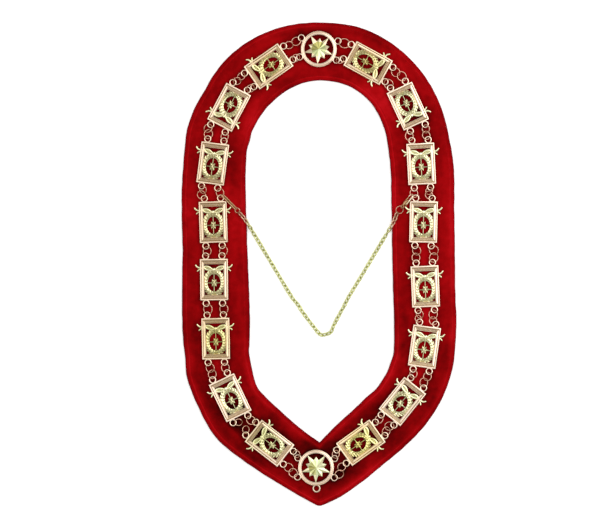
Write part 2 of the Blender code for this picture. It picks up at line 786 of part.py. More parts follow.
def build_teardrop(material):
    """The teardrop link where it hangs."""
    middle = (TEARDROP_FROM + TEARDROP_TO) / 2
    along = TEARDROP_TO - TEARDROP_FROM
    obj = placed("teardrop_link", teardrop_mesh(along.length / 2), material)
    turn = math.atan2(along.y, along.x)
    dip = math.atan2(-along.z, math.hypot(along.x, along.y))
    turned = Matrix.Rotation(turn, 4, "Z") @ Matrix.Rotation(dip, 4, "Y") @ Matrix.Rotation(-TEARDROP_ROLL, 4, "X")
    obj.matrix_world = Matrix.Translation(middle * MM) @ turned
    return obj


# Clasp ----------------------------------------------------------------------------------


def draw_hook(bm):
    """The clasp's bow, from its base round the nose to the tip that the lever meets."""
    places = [Vector((x, y, 0.0)) for x, y, _, _ in HOOK_ROUTE]
    sections = []
    for i, (place, (_, _, half_width, half_height)) in enumerate(zip(places, HOOK_ROUTE)):
        heading = (places[min(i + 1, len(places) - 1)] - places[max(i - 1, 0)]).normalized()
        out = Vector((heading.y, -heading.x, 0.0)) * half_width
        up = Vector((0.0, 0.0, half_height))
        corner = 0.55
        sections.append(
            [
                place + out + up * corner,
                place + out * corner + up,
                place - out * corner + up,
                place - out + up * corner,
                place - out - up * corner,
                place - out * corner - up,
                place + out * corner - up,
                place + out - up * corner,
            ]
        )
    loft(bm, sections, closed=False)


def draw_round_bar(bm, radius, low, high, centre=(0.0, 0.0)):
    """An upright eight-sided bar."""
    sides = 8
    angles = [2 * math.pi * (step + 0.5) / sides for step in range(sides)]
    prism(bm, [(centre[0] + radius * math.cos(a), centre[1] + radius * math.sin(a)) for a in angles], low, high)


def clasp_body_mesh():
    """The clasp's body with its eye, hook, slotted base and the pin of its lever."""
    return combined(
        "clasp_body",
        mesh_of("base", prism, BASE_OUTLINE, -CHEEK_TOP, CHEEK_TOP),
        [
            ("UNION", mesh_of("hook", draw_hook)),
            ("UNION", mesh_of("eye", hoop, 1.8, 0.55, 0.5, 12)),
            ("DIFFERENCE", mesh_of("slot", prism, SLOT_OUTLINE, -SLOT_HALF, SLOT_HALF)),
            ("UNION", mesh_of("pin", draw_round_bar, PIN_RADIUS, -1.1, 1.1, PIVOT.xy)),
        ],
    )


def clasp_lever_mesh():
    """The lever about its own pivot: hub, gate and thumb tab."""
    return combined(
        "clasp_lever",
        mesh_of("hub", draw_round_bar, LEVER_HUB, -LEVER_HALF, LEVER_HALF),
        [
            ("UNION", mesh_of("arm", prism, LEVER_ARM, -LEVER_HALF, LEVER_HALF)),
            ("UNION", mesh_of("tab", prism, LEVER_TAB, -LEVER_HALF, LEVER_HALF)),
            ("DIFFERENCE", mesh_of("bore", draw_round_bar, LEVER_BORE, -1.0, 1.0)),
        ],
    )


def build_clasp(material):
    """The clasp, tilted so that its eye and its nose each take a ring."""
    frame = bpy.data.objects.new("clasp", None)
    frame.matrix_world = (
        Matrix.Translation(EYE * MM)
        @ Matrix.Rotation(CLASP_TURN, 4, "Z")
        @ Matrix.Rotation(CLASP_PITCH, 4, "X")
        @ Matrix.Rotation(CLASP_ROLL, 4, "Y")
    )
    bpy.context.scene.collection.objects.link(frame)
    placed("clasp_body", clasp_body_mesh(), material, parent=frame)
    placed("clasp_lever", clasp_lever_mesh(), material, PIVOT, parent=frame)


# The whole collar -----------------------------------------------------------------------


def build_links(material):
    """The plaques and the two medallions, on the velvet."""
    plaque = plaque_mesh()
    for link in LINKS:
        mesh = plaque
        if link.name.startswith("medallion"):
            mesh = medallion_mesh(link.name, with_jewel_ring=link.name.endswith("bottom"))
        placed(link.name, mesh, material, (link.x, link.y, PLATE_BASE), math.radians(link.turn))


def build_ring_rows(material):
    """The outer and the inner row of rings after each link."""
    for i, (link, gap) in enumerate(zip(LINKS, GAPS)):
        following = LINKS[(i + 1) % len(LINKS)]
        starts = facing_lugs(link, following)
        ends = facing_lugs(following, link)
        rows = (("outer", gap.outer), ("inner", gap.inner))
        for (row, rings), start, end in zip(rows, starts, ends):
            raised_side = 1 if i % 2 else -1
            build_ring_row(f"rings_{link.name}_{row}", rings, start, end, raised_side, material)


def main():
    for obj in list(bpy.data.objects):
        bpy.data.objects.remove(obj)
    velvet = finish("red_velvet", (0.32, 0.004, 0.012), 0.85, 0.0)
    gold = finish("pale_gold", (0.86, 0.74, 0.50), 0.25, 1.0)
    placed("velvet_collar", mesh_of("velvet_collar", draw_velvet), velvet)
    build_links(gold)
    build_ring_rows(gold)
    build_safety_chain(gold)
    build_teardrop(gold)
    build_clasp(gold)


main()
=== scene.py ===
"""The looks of a chain of office laid flat: cast plaques and star medallions on a padded velvet
collar, the wire rings that join them, and the safety chain with its clasp.

Shapes are made in millimetres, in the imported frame's axes, and become metres when a mesh is
finished. Sub-assemblies build and dress themselves; main() puts them together."""

from __future__ import annotations

import json
import logging
import math
from collections.abc import Callable, Iterable, Sequence
from dataclasses import dataclass, field
from enum import Enum
from functools import cache, cached_property
from typing import Any, NamedTuple

import bmesh
import bpy
from mathutils import Matrix, Vector, noise

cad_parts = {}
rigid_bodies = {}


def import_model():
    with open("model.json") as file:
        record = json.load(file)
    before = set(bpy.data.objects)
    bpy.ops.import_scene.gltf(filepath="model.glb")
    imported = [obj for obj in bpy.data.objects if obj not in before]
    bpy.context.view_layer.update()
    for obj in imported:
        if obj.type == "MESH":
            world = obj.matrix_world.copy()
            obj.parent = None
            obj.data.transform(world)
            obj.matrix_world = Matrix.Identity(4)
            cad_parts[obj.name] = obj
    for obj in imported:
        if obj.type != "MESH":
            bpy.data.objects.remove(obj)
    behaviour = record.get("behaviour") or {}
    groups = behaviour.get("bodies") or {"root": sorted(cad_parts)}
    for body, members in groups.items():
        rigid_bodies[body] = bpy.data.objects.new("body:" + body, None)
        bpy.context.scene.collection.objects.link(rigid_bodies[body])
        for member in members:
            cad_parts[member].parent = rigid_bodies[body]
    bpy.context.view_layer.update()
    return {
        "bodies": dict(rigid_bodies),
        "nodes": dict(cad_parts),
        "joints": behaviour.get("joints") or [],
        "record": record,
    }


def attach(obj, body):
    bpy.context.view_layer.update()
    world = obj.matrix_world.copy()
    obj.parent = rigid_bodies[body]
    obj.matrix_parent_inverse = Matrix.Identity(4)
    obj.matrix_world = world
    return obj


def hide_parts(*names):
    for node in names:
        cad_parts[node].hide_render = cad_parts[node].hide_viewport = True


log = logging.getLogger("chain_of_office")

MM = 0.001
COLLAR = "collar"
LEVER = "lever"

# Heights above the surface that the collar rests on.
VELVET_THICK = 4.0
PLATE_BASE = 4.3
LUG_PLANE = 7.0
LUG_Z = LUG_PLANE - PLATE_BASE


# Turns, points and paths ----------------------------------------------------------------


def turned(degrees: float, axis: str = "Z") -> Matrix:
    """A turn about one axis."""
    return Matrix.Rotation(math.radians(degrees), 4, axis)


def level_turn(direction: Vector) -> Matrix:
    """The level turn that takes +X to a direction."""
    return Matrix.Rotation(math.atan2(direction.y, direction.x), 4, "Z")


def between(points: Sequence[Vector], share: float) -> Vector:
    """A point on the Catmull-Rom curve between the middle two of four points.

    Args:
        points: The point before, the two ends, and the point after.
        share: How far from the first end to the second, from 0 to 1.

    Returns:
        The point on the curve.
    """
    a, b, c, d = points
    return 0.5 * (
        2 * b + (c - a) * share + (2 * a - 5 * b + 4 * c - d) * share**2 + (3 * b - 3 * c + d - a) * share**3
    )


def smooth_route(points: Iterable[Sequence[float]], steps: int) -> list[Vector]:
    """A smooth open curve through some points.

    Args:
        points: What the curve passes through.
        steps: How many steps there are from each point to the next.

    Returns:
        The curve's points, from the first given one to the last.
    """
    given = [Vector(point) for point in points]
    padded = [2 * given[0] - given[1], *given, 2 * given[-1] - given[-2]]
    spans = [padded[i : i + 4] for i in range(len(given) - 1)]
    return [*(between(span, step / steps) for span in spans for step in range(steps)), given[-1]]


def arc(
    centre: Sequence[float], reach: Sequence[float], start: float, end: float, steps: int
) -> list[Vector]:
    """Points on an ellipse's arc, level with its centre.

    Args:
        centre: The ellipse's centre, with its height.
        reach: The ellipse's radii along X and Y.
        start: Where the arc starts, in degrees from +X.
        end: Where it ends.
        steps: How many steps it has.

    Returns:
        The arc's points, both ends included.
    """
    x, y, z = centre
    across, along = reach
    angles = [math.radians(start + (end - start) * i / steps) for i in range(steps + 1)]
    return [Vector((x + across * math.cos(a), y + along * math.sin(a), z)) for a in angles]


def oval(centre: Sequence[float], reach: Sequence[float], steps: int) -> list[Vector]:
    """The points of a whole level ellipse, each of them once."""
    return arc(centre, reach, 0, 360, steps)[:-1]


# The layout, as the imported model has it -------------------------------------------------


class Link(NamedTuple):
    """A plaque or medallion of the chain: its centre, and its turn in degrees from +Y."""

    name: str
    x: float
    y: float
    turn: float

    @property
    def is_medallion(self) -> bool:
        """Whether this link is a round medallion."""
        return self.name.startswith("medallion")

    @property
    def place(self) -> Matrix:
        """The link's own frame, in the collar's."""
        return Matrix.Translation((self.x, self.y, PLATE_BASE)) @ turned(self.turn)


class Ring(NamedTuple):
    """A wire ring: the radius of its wire's centre line, and how far it lies to the outer
    side of the straight line between its row's two lugs."""

    radius: float
    outwards: float


class Gap(NamedTuple):
    """The rings between one link and the next, in the outer and the inner row."""

    outer: tuple[Ring, ...]
    inner: tuple[Ring, ...]


class Station(NamedTuple):
    """One section across the velvet: where its outer and its inner edge are."""

    outer_x: float
    outer_y: float
    inner_x: float
    inner_y: float


class SheenPatch(NamedTuple):
    """A soft patch of painted sheen on the velvet, and how much lighter it paints the pile; a negative amount
    paints shade.
    """

    x: float
    y: float
    reach: float
    lighter: float


LINKS = (
    Link("medallion_top", -0.2, 226.9, -5.0),
    Link("plaque_left_1", -53.0, 208.6, 124.8),
    Link("plaque_left_2", -94.7, 165.5, 152.2),
    Link("plaque_left_3", -111.9, 106.4, -7.5),
    Link("plaque_left_4", -111.4, 44.7, 1.9),
    Link("plaque_left_5", -110.5, -15.9, 0.7),
    Link("plaque_left_6", -108.7, -78.1, 1.3),
    Link("plaque_left_7", -93.5, -140.3, 25.6),
    Link("plaque_left_8", -52.1, -188.2, 52.2),
    Link("medallion_bottom", -3.1, -214.0, -1.0),
    Link("plaque_right_8", 44.0, -187.7, -54.3),
    Link("plaque_right_7", 87.8, -144.2, -38.6),
    Link("plaque_right_6", 111.0, -86.6, -7.9),
    Link("plaque_right_5", 111.9, -23.1, 2.4),
    Link("plaque_right_4", 110.0, 44.8, -1.1),
    Link("plaque_right_3", 107.6, 106.0, 2.9),
    Link("plaque_right_2", 93.5, 166.7, -155.3),
    Link("plaque_right_1", 51.7, 212.1, -118.8),
)
GAPS = (
    Gap(outer=(Ring(4.8, -1.0), Ring(4.2, -1.5)), inner=(Ring(3.9, 0.5),)),
    Gap(outer=(Ring(4.1, -0.4), Ring(4.1, -1.6)), inner=(Ring(4.1, 0.0),)),
    Gap(outer=(Ring(4.6, 2.0), Ring(4.8, 0.3)), inner=(Ring(4.4, -0.1),)),
    Gap(outer=(Ring(4.0, -0.7), Ring(4.6, 2.0)), inner=(Ring(4.6, -1.0),)),
    Gap(outer=(Ring(4.8, -1.6),), inner=(Ring(4.8, -1.6),)),
    Gap(outer=(Ring(5.2, -1.4),), inner=(Ring(5.0, -1.0),)),
    Gap(outer=(Ring(4.8, -0.7), Ring(4.6, -1.1)), inner=(Ring(4.6, 0.6),)),
    Gap(outer=(Ring(4.0, -4.4), Ring(4.0, -4.2)), inner=(Ring(4.7, 1.6),)),
    Gap(outer=(Ring(4.9, -1.2), Ring(4.7, -0.2)), inner=(Ring(4.0, -1.1),)),
    Gap(outer=(Ring(4.7, 1.8), Ring(4.4, -1.3)), inner=(Ring(4.2, 0.1),)),
    Gap(outer=(Ring(4.6, -1.9), Ring(4.8, -3.0)), inner=(Ring(4.4, 1.1),)),
    Gap(outer=(Ring(4.7, -1.7), Ring(4.5, -0.1)), inner=(Ring(4.3, 1.6),)),
    Gap(outer=(Ring(4.4, -2.4), Ring(4.8, -1.8)), inner=(Ring(3.7, -1.0), Ring(4.1, 1.2))),
    Gap(outer=(Ring(5.0, 1.7), Ring(5.0, 2.3)), inner=(Ring(4.7, 0.2), Ring(4.7, 1.5))),
    Gap(outer=(Ring(4.4, -2.6), Ring(4.0, -2.0)), inner=(Ring(4.7, -1.2),)),
    Gap(outer=(Ring(4.5, -1.1), Ring(4.3, -0.2)), inner=(Ring(4.8, -2.0),)),
    Gap(outer=(Ring(5.1, 0.7), Ring(4.7, -1.2)), inner=(Ring(5.1, 1.2),)),
    Gap(outer=(Ring(5.5, -0.6),), inner=(Ring(3.9, -0.8),)),
)
UNHOOKED = "plaque_left_7"  # the outer rings after this link hang loose, one on each lug

STATIONS = (
    Station(0.8, -255.0, 0.8, -188.0),
    Station(-29.8, -238.4, -18.5, -174.0),
    Station(-79.2, -206.9, -46.2, -149.6),
    Station(-103.5, -187.6, -57.5, -138.7),
    Station(-118.9, -166.9, -66.9, -125.8),
    Station(-137.6, -124.4, -73.3, -96.3),
    Station(-141.1, -97.0, -73.3, -83.5),
    Station(-143.6, -69.6, -73.1, -69.6),
    Station(-144.2, -27.0, -73.9, -27.0),
    Station(-143.8, 14.8, -75.4, 14.8),
    Station(-144.4, 80.0, -77.5, 80.0),
    Station(-140.7, 129.2, -76.5, 117.0),
    Station(-135.6, 152.0, -73.5, 129.5),
    Station(-124.7, 176.4, -69.0, 144.3),
    Station(-95.6, 218.4, -53.3, 167.8),
    Station(-51.7, 246.4, -29.6, 186.0),
    Station(0.0, 254.8, 0.0, 194.3),
    Station(51.7, 246.4, 30.7, 188.7),
    Station(95.2, 217.8, 55.1, 170.1),
    Station(124.3, 176.2, 68.8, 144.1),
    Station(138.2, 128.8, 74.1, 117.5),
    Station(142.2, 95.0, 76.2, 90.0),
    Station(142.4, 60.0, 76.7, 60.0),
    Station(143.3, 20.0, 77.3, 20.0),
    Station(143.5, -20.0, 78.3, -20.0),
    Station(144.5, -69.6, 79.4, -69.6),
    Station(138.1, -119.8, 77.5, -97.9),
    Station(114.6, -165.7, 65.6, -124.7),
    Station(77.0, -203.0, 44.0, -145.9),
    Station(30.1, -240.0, 17.7, -170.4),
)

# Soft patches of painted sheen on the velvet, and a few of painted shade where the amount is negative.
SHEEN_PATCHES = (
    SheenPatch(62.0, 176.0, 30.0, 0.16),
    SheenPatch(90.0, 118.0, 34.0, 0.12),
    SheenPatch(140.0, 88.0, 26.0, 0.04),
    SheenPatch(105.0, 139.0, 13.0, 0.12),
    SheenPatch(52.0, -160.0, 14.0, 0.14),
    SheenPatch(96.0, -188.0, 18.0, 0.09),
    SheenPatch(-35.0, 188.0, 18.0, 0.13),
    SheenPatch(-110.0, -112.0, 15.0, -0.08),
    SheenPatch(-136.0, -28.0, 16.0, -0.07),
    SheenPatch(-100.0, 212.0, 20.0, -0.07),
    SheenPatch(138.0, 5.0, 45.0, 0.12),
    SheenPatch(138.0, -60.0, 24.0, 0.1),
    SheenPatch(86.0, -70.0, 50.0, 0.08),
    SheenPatch(-88.0, 36.0, 20.0, 0.16),
    SheenPatch(-82.0, -70.0, 45.0, 0.08),
    SheenPatch(-88.0, 140.0, 26.0, 0.1),
    SheenPatch(-136.0, 60.0, 40.0, 0.05),
    SheenPatch(-125.0, -150.0, 34.0, -0.13),
    SheenPatch(-84.0, -190.0, 30.0, -0.13),
    SheenPatch(-10.0, 248.0, 34.0, -0.08),
    SheenPatch(14.0, 238.0, 18.0, -0.06),
    SheenPatch(102.0, -160.0, 24.0, -0.05),
    SheenPatch(-5.0, -189.0, 14.0, -0.28),
)

# The safety chain's route, from its left ring to its right ring: over the velvet, down to the
# table and up again. These are the heights of its middle where it lies on each.
ON_VELVET = 6.25
ON_FLOOR = 2.35
CHAIN_ROUTE = (
    (-82.7, 53.1, 6.4),
    (-80.2, 50.2, ON_VELVET),
    (-76.5, 45.4, ON_VELVET),
    (-73.9, 41.2, 5.2),
    (-71.3, 37.0, 3.5),
    (-68.4, 32.0, ON_FLOOR),
    (-45.5, -6.3, ON_FLOOR),
    (-29.0, -33.8, ON_FLOOR),
    (-22.7, -41.6, ON_FLOOR),
    (-17.0, -50.6, ON_FLOOR),
    (-9.8, -60.2, ON_FLOOR),
    (-5.0, -66.4, ON_FLOOR),
    (-0.8, -71.6, ON_FLOOR),
    (2.6, -74.2, ON_FLOOR),
    (7.6, -73.5, ON_FLOOR),
    (12.2, -71.6, ON_FLOOR),
    (14.3, -67.2, ON_FLOOR),
    (16.6, -62.2, ON_FLOOR),
    (19.9, -55.9, ON_FLOOR),
    (23.9, -48.5, ON_FLOOR),
    (27.2, -42.6, ON_FLOOR),
    (31.1, -34.8, ON_FLOOR),
    (46.9, -8.6, ON_FLOOR),
    (69.2, 28.7, 2.6),
    (72.4, 34.0, 3.9),
    (75.2, 38.7, 5.2),
    (77.9, 43.2, ON_VELVET),
    (80.3, 48.6, ON_VELVET),
    (81.6, 52.3, 6.6),
)


# Meshes ---------------------------------------------------------------------------------


class Shape:
    """A mesh in the making, in millimetres. Its closed shells may overlap one another."""

    def __init__(self) -> None:
        """Starts with nothing in it."""
        self.bm = bmesh.new()

    def loft(self, sections: Sequence[Sequence[Vector]], closed: bool, place: Matrix = Matrix()) -> None:
        """Skins sections of equal length.

        Args:
            sections: The outlines, each a list of points.
            closed: Whether the last section joins the first. Otherwise both ends are capped.
            place: Where the shape goes.
        """
        rows = [[self.bm.verts.new(place @ point) for point in section] for section in sections]
        pairs = list(zip(rows, rows[1:]))
        if closed:
            pairs.append((rows[-1], rows[0]))
        faces = []
        for near, far in pairs:
            for i in range(len(near)):
                j = (i + 1) % len(near)
                faces.append(self.bm.faces.new((near[i], near[j], far[j], far[i])))
        if not closed:
            faces.append(self.bm.faces.new(rows[0][::-1]))
            faces.append(self.bm.faces.new(rows[-1]))
        bmesh.ops.recalc_face_normals(self.bm, faces=faces)

    def tube(
        self,
        points: Sequence[Vector],
        radii: Sequence[float] | float,
        closed: bool,
        place: Matrix = Matrix(),
        sides: int = 10,
        flat: float = 1.0,
    ) -> None:
        """A round or flattened bar along a path that stays near level.

        Args:
            points: The path.
            radii: The bar's half width, at each point or all along.
            closed: Whether the path is a loop.
            place: Where the shape goes.
            sides: How many sides the bar has.
            flat: The bar's half height for each millimetre of half width.
        """
        count = len(points)
        widths = [radii] * count if isinstance(radii, (int, float)) else radii
        sections = []
        for i, (point, width) in enumerate(zip(points, widths)):
            ahead = points[(i + 1) % count] if closed else points[min(i + 1, count - 1)]
            behind = points[i - 1] if closed or i else point
            heading = (ahead - behind).normalized()
            side = Vector((heading.y, -heading.x, 0.0)).normalized()
            up = side.cross(heading)
            turns = [2 * math.pi * k / sides for k in range(sides)]
            sections.append(
                [point + side * width * math.cos(a) + up * width * flat * math.sin(a) for a in turns]
            )
        self.loft(sections, closed, place)

    def ring(self, radius: float, wire: float, place: Matrix, steps: int = 36, flat: float = 1.0) -> None:
        """A round ring in the XY plane of its place."""
        self.tube(oval((0, 0, 0), (radius, radius), steps), wire, True, place, flat=flat)

    def turn(self, profile: Sequence[Vector], steps: int, place: Matrix = Matrix()) -> None:
        """Turns a closed profile round the Z axis of its place."""
        turns = [Matrix.Rotation(2 * math.pi * i / steps, 4, "Z") for i in range(steps)]
        self.loft([[turn @ point for point in profile] for turn in turns], True, place)

    def slab(self, outline: Sequence[Vector], half: float, place: Matrix = Matrix()) -> None:
        """A flat slab of one outline, as thick above its middle plane as below it."""
        sections = [[Vector((point.x, point.y, up)) for point in outline] for up in (-half, half)]
        self.loft(sections, False, place)

    def dome(self, outline: Sequence[Vector], rise: float, layers: int, place: Matrix = Matrix()) -> None:
        """A cushion over an outline, with a flat underside.

        Args:
            outline: The edge, all at one height and in order.
            rise: How high the middle stands above the edge.
            layers: How many steps there are from edge to middle.
            place: Where the shape goes.
        """
        centre = sum(outline, Vector()) / len(outline)
        sections = []
        for layer in range(layers):
            angle = math.pi / 2 * layer / layers
            lift = Vector((0.0, 0.0, rise * math.sin(angle)))
            sections.append([centre.lerp(point, math.cos(angle)) + lift for point in outline])
        self.loft(sections, False, place)

    def add(self, mesh: bpy.types.Mesh, place: Matrix = Matrix()) -> None:
        """Takes in a finished mesh.

        Args:
            mesh: The mesh, in metres.
            place: Where it goes, in millimetres.
        """
        before = len(self.bm.verts)
        self.bm.from_mesh(mesh)
        self.bm.verts.ensure_lookup_table()
        added = self.bm.verts[before:]
        bmesh.ops.transform(self.bm, matrix=place @ Matrix.Scale(1 / MM, 4), verts=added)

    def finish(self, name: str, sharp: float = 40.0) -> bpy.types.Mesh:
        """Makes the mesh, in metres and shaded smooth.

        Args:
            name: The mesh's name.
            sharp: The angle in degrees past which an edge stays sharp.

        Returns:
            The mesh.
        """
        bmesh.ops.scale(self.bm, vec=(MM, MM, MM), verts=self.bm.verts)
        mesh = bpy.data.meshes.new(name)
        self.bm.to_mesh(mesh)
        self.bm.free()
        mesh.shade_smooth()
        mesh.set_sharp_from_angle(angle=math.radians(sharp))
        return mesh


def leaf_mesh(
    length: float, width: float, rise: float, steps: int = 5, keel: float = 0.25
) -> bpy.types.Mesh:
    """A pointed leaf along +X from its stalk, with a ridge down its middle.

    Args:
        length: From stalk to tip.
        width: Across the middle.
        rise: How high the ridge stands.
        steps: How many steps the leaf has along its length.
        keel: How deep its underside is.

    Returns:
        The leaf's mesh.
    """
    shape = Shape()
    sections = []
    for i in range(steps + 1):
        share = i / steps
        half = width / 2 * max(0.04, math.sin(math.pi * share**0.8))
        lift = rise * max(0.1, math.sin(math.pi * min(1.0, share * 0.85 + 0.15)))
        x = length * share
        sections.append([Vector((x, y, z)) for y, z in ((-half, 0), (0, lift), (half, 0), (0, -keel))])
    shape.loft(sections, False)
    return shape.finish("leaf", 25.0)


# Shader trees ---------------------------------------------------------------------------


@dataclass(frozen=True, eq=False)
class Wire:
    """A shader socket that takes part in arithmetic. Each sum adds one Math node."""

    shader: Shader
    socket: bpy.types.NodeSocket

    def math(self, operation: str, *values: Wire | float, clamp: bool = False) -> Wire:
        """One Math node on these values."""
        settings = {"operation": operation, "use_clamp": clamp}
        return self.shader.node("ShaderNodeMath", settings, dict(enumerate(values)))

    def __add__(self, other: Wire | float) -> Wire:
        """Adds."""
        return self.math("ADD", self, other)

    def __sub__(self, other: Wire | float) -> Wire:
        """Subtracts."""
        return self.math("SUBTRACT", self, other)

    def __rsub__(self, other: float) -> Wire:
        """Subtracts this from a number."""
        return self.math("SUBTRACT", other, self)

    def __mul__(self, other: Wire | float) -> Wire:
        """Multiplies."""
        return self.math("MULTIPLY", self, other)

    def __truediv__(self, other: Wire | float) -> Wire:
        """Divides."""
        return self.math("DIVIDE", self, other)

    def __rtruediv__(self, other: float) -> Wire:
        """Divides a number by this."""
        return self.math("DIVIDE", other, self)

    __radd__ = __add__
    __rmul__ = __mul__

    def clamped(self) -> Wire:
        """Kept between 0 and 1."""
        return self.math("ADD", self, 0.0, clamp=True)

    def magnitude(self) -> Wire:
        """Its size without its sign."""
        return self.math("ABSOLUTE", self)

    def step_from(self, low: float, high: float) -> Wire:
        """0 below low, 1 above high, and a straight rise between them."""
        return ((self - low) / (high - low)).clamped()

    def peak_at(self, middle: float, width: float) -> Wire:
        """1 at a value, and 0 from one width away from it on."""
        return (1 - (self - middle).magnitude() / width).clamped()


Colour = tuple[float, float, float]


class Shader:
    """The node tree of a material or of the world."""

    # The Mix node's sockets when it mixes colours: its factor, its two colours and its result.
    FACTOR, LOW, HIGH, RESULT = 0, 6, 7, 2

    def __init__(self, owner: bpy.types.Material | bpy.types.World) -> None:
        """Takes over a tree and clears it.

        Args:
            owner: The material or world whose tree it is.
        """
        owner.use_nodes = True
        self.owner = owner
        self.tree = owner.node_tree
        self.tree.nodes.clear()

    @classmethod
    def named(cls, name: str) -> Shader:
        """The tree of a new material."""
        return cls(bpy.data.materials.new(name))

    def node(
        self,
        kind: str,
        settings: dict[str, Any] | None = None,
        inputs: dict[int | str, Any] | None = None,
        output: int | str = 0,
    ) -> Wire:
        """Makes any node.

        Args:
            kind: The node's type.
            settings: Its settings. "stops" fills a ramp, as (place, colour) pairs.
            inputs: Values or links for its sockets, by name or number.
            output: Which of its outputs is wanted.

        Returns:
            That output.
        """
        node = self.tree.nodes.new(kind)
        for name, value in (settings or {}).items():
            if name == "stops":
                self._fill_ramp(node.color_ramp, value)
            else:
                setattr(node, name, value)
        for key, value in (inputs or {}).items():
            if isinstance(value, Wire):
                self.tree.links.new(value.socket, node.inputs[key])
            elif isinstance(value, tuple) and len(value) == 3 and node.inputs[key].type == "RGBA":
                node.inputs[key].default_value = (*value, 1.0)
            else:
                node.inputs[key].default_value = value
        return Wire(self, node.outputs[output])

    @staticmethod
    def _fill_ramp(ramp: bpy.types.ColorRamp, stops: Sequence[tuple[float, Colour]]) -> None:
        """Gives a ramp its stops.

        Args:
            ramp: The ramp.
            stops: For each stop its place, from 0 to 1, and its colour.
        """
        while len(ramp.elements) < len(stops):
            ramp.elements.new(1.0)
        for element, (place, colour) in zip(ramp.elements, stops):
            element.position = place
            element.color = (*colour, 1.0)

    def place(self) -> Wire:
        """Object coordinates, which are the collar's own, in metres."""
        return self.node("ShaderNodeTexCoord", output="Object")

    def grain(
        self, scale: float | tuple[float, float, float], detail: float = 2.0, source: Wire | None = None
    ) -> Wire:
        """Noise from 0 to 1.

        Args:
            scale: How many grains there are in a metre, the same each way or each way its own.
            detail: How many finer layers it has.
            source: The coordinates, or none for the object's.

        Returns:
            The noise's value.
        """
        vector = source or self.place()
        if isinstance(scale, tuple):
            vector = self.node("ShaderNodeMapping", {}, {0: vector, "Scale": scale})
            scale = 1.0
        return self.node("ShaderNodeTexNoise", {}, {"Vector": vector, "Scale": scale, "Detail": detail})

    def near(self, x: float, y: float, reach: float) -> Wire:
        """How near the surface is to a place on the collar, seen from above.

        Args:
            x: The place's X, in millimetres.
            y: Its Y.
            reach: How far from it the nearness ends.

        Returns:
            1 at the place, and 0 from its reach on.
        """
        kind, middle = "ShaderNodeVectorMath", (x * MM, y * MM, 0.0)
        flat = self.node(kind, {"operation": "MULTIPLY"}, {0: self.place(), 1: (1.0, 1.0, 0.0)})
        away = self.node(kind, {"operation": "DISTANCE"}, {0: flat, 1: middle}, "Value")
        return away.peak_at(0.0, reach * MM)

    def mix(
        self, low: Wire | Colour, high: Wire | Colour, share: Wire | float, blend: str = "MIX"
    ) -> Wire:
        """Mixes two colours, or blends them another way.

        Args:
            low: The colour at a share of 0.
            high: The colour at a share of 1.
            share: The second one's share.
            blend: How the second one goes over the first.

        Returns:
            The colour.
        """
        settings = {"data_type": "RGBA", "blend_type": blend}
        inputs = {self.FACTOR: share, self.LOW: low, self.HIGH: high}
        return self.node("ShaderNodeMix", settings, inputs, self.RESULT)

    def ramp(self, share: Wire, stops: Sequence[tuple[float, Colour]]) -> Wire:
        """The colour at a share of the way along some stops."""
        return self.node("ShaderNodeValToRGB", {"stops": stops}, {0: share})

    def stored(self, name: str) -> Wire:
        """A number that the mesh holds in an attribute."""
        return self.node("ShaderNodeAttribute", {"attribute_name": name}, output="Fac")

    def part_of(self, vector: Wire, axis: str) -> Wire:
        """One of a vector's three numbers."""
        return self.node("ShaderNodeSeparateXYZ", {}, {0: vector}, axis)

    def bump(self, height: Wire, distance: float, strength: float = 1.0) -> Wire:
        """A bumped normal.

        Args:
            height: The surface's height, from 0 to 1.
            distance: How many metres a height of 1 stands for.
            strength: How much of the bump shows.

        Returns:
            The normal.
        """
        return self.node("ShaderNodeBump", {}, {"Height": height, "Distance": distance, "Strength": strength})

    def surface(self, **inputs: Wire | float | Colour) -> bpy.types.Material:
        """Ends the tree in a Principled shader.

        Args:
            inputs: Its sockets, with _ for each space in a name.

        Returns:
            The material.
        """
        named = {key.replace("_", " "): value for key, value in inputs.items()}
        output = self.tree.nodes.new("ShaderNodeOutputMaterial")
        bsdf = self.node("ShaderNodeBsdfPrincipled", {}, named)
        self.tree.links.new(bsdf.socket, output.inputs["Surface"])
        return self.owner

    def light_up(self, colour: Wire) -> None:
        """Ends the world's tree in light.

        Args:
            colour: The light's colour.
        """
        output = self.tree.nodes.new("ShaderNodeOutputWorld")
        background = self.node("ShaderNodeBackground", {}, {"Color": colour, "Strength": 1.0})
        self.tree.links.new(background.socket, output.inputs["Surface"])


# Finishes -------------------------------------------------------------------------------


# Grains to the metre of the plating's patches and of its fine rubbing, and in metres how deep
# the rubbing is.
PATCHES = 160.0
RUBBING = 1400.0
RUB_DEPTH = 0.00002


class TintPatch(NamedTuple):
    """A stretch of the chain whose gold is tinted: its tint multiplies the gold."""

    x: float
    y: float
    reach: float
    tint: Colour


TINT_AND_SHADE_PATCHES = (
    # The first, wide patch darkens the whole left side as painted shade; the others tint single links darker
    # and yellower.
    TintPatch(-150.0, 60.0, 210.0, (0.80, 0.75, 0.66)),
    TintPatch(-53.0, 208.6, 30.0, (0.84, 0.76, 0.50)),
    TintPatch(51.7, 212.1, 30.0, (0.72, 0.62, 0.36)),
    TintPatch(-108.7, -78.1, 32.0, (0.80, 0.76, 0.46)),
    TintPatch(-62.0, -181.0, 32.0, (0.80, 0.80, 0.62)),
    TintPatch(44.0, -187.7, 30.0, (1.00, 0.94, 0.46)),
)


class GoldTones(NamedTuple):
    """Two tones of a plating: rubbed bright, and dark."""

    bright: Colour
    dark_tone: Colour


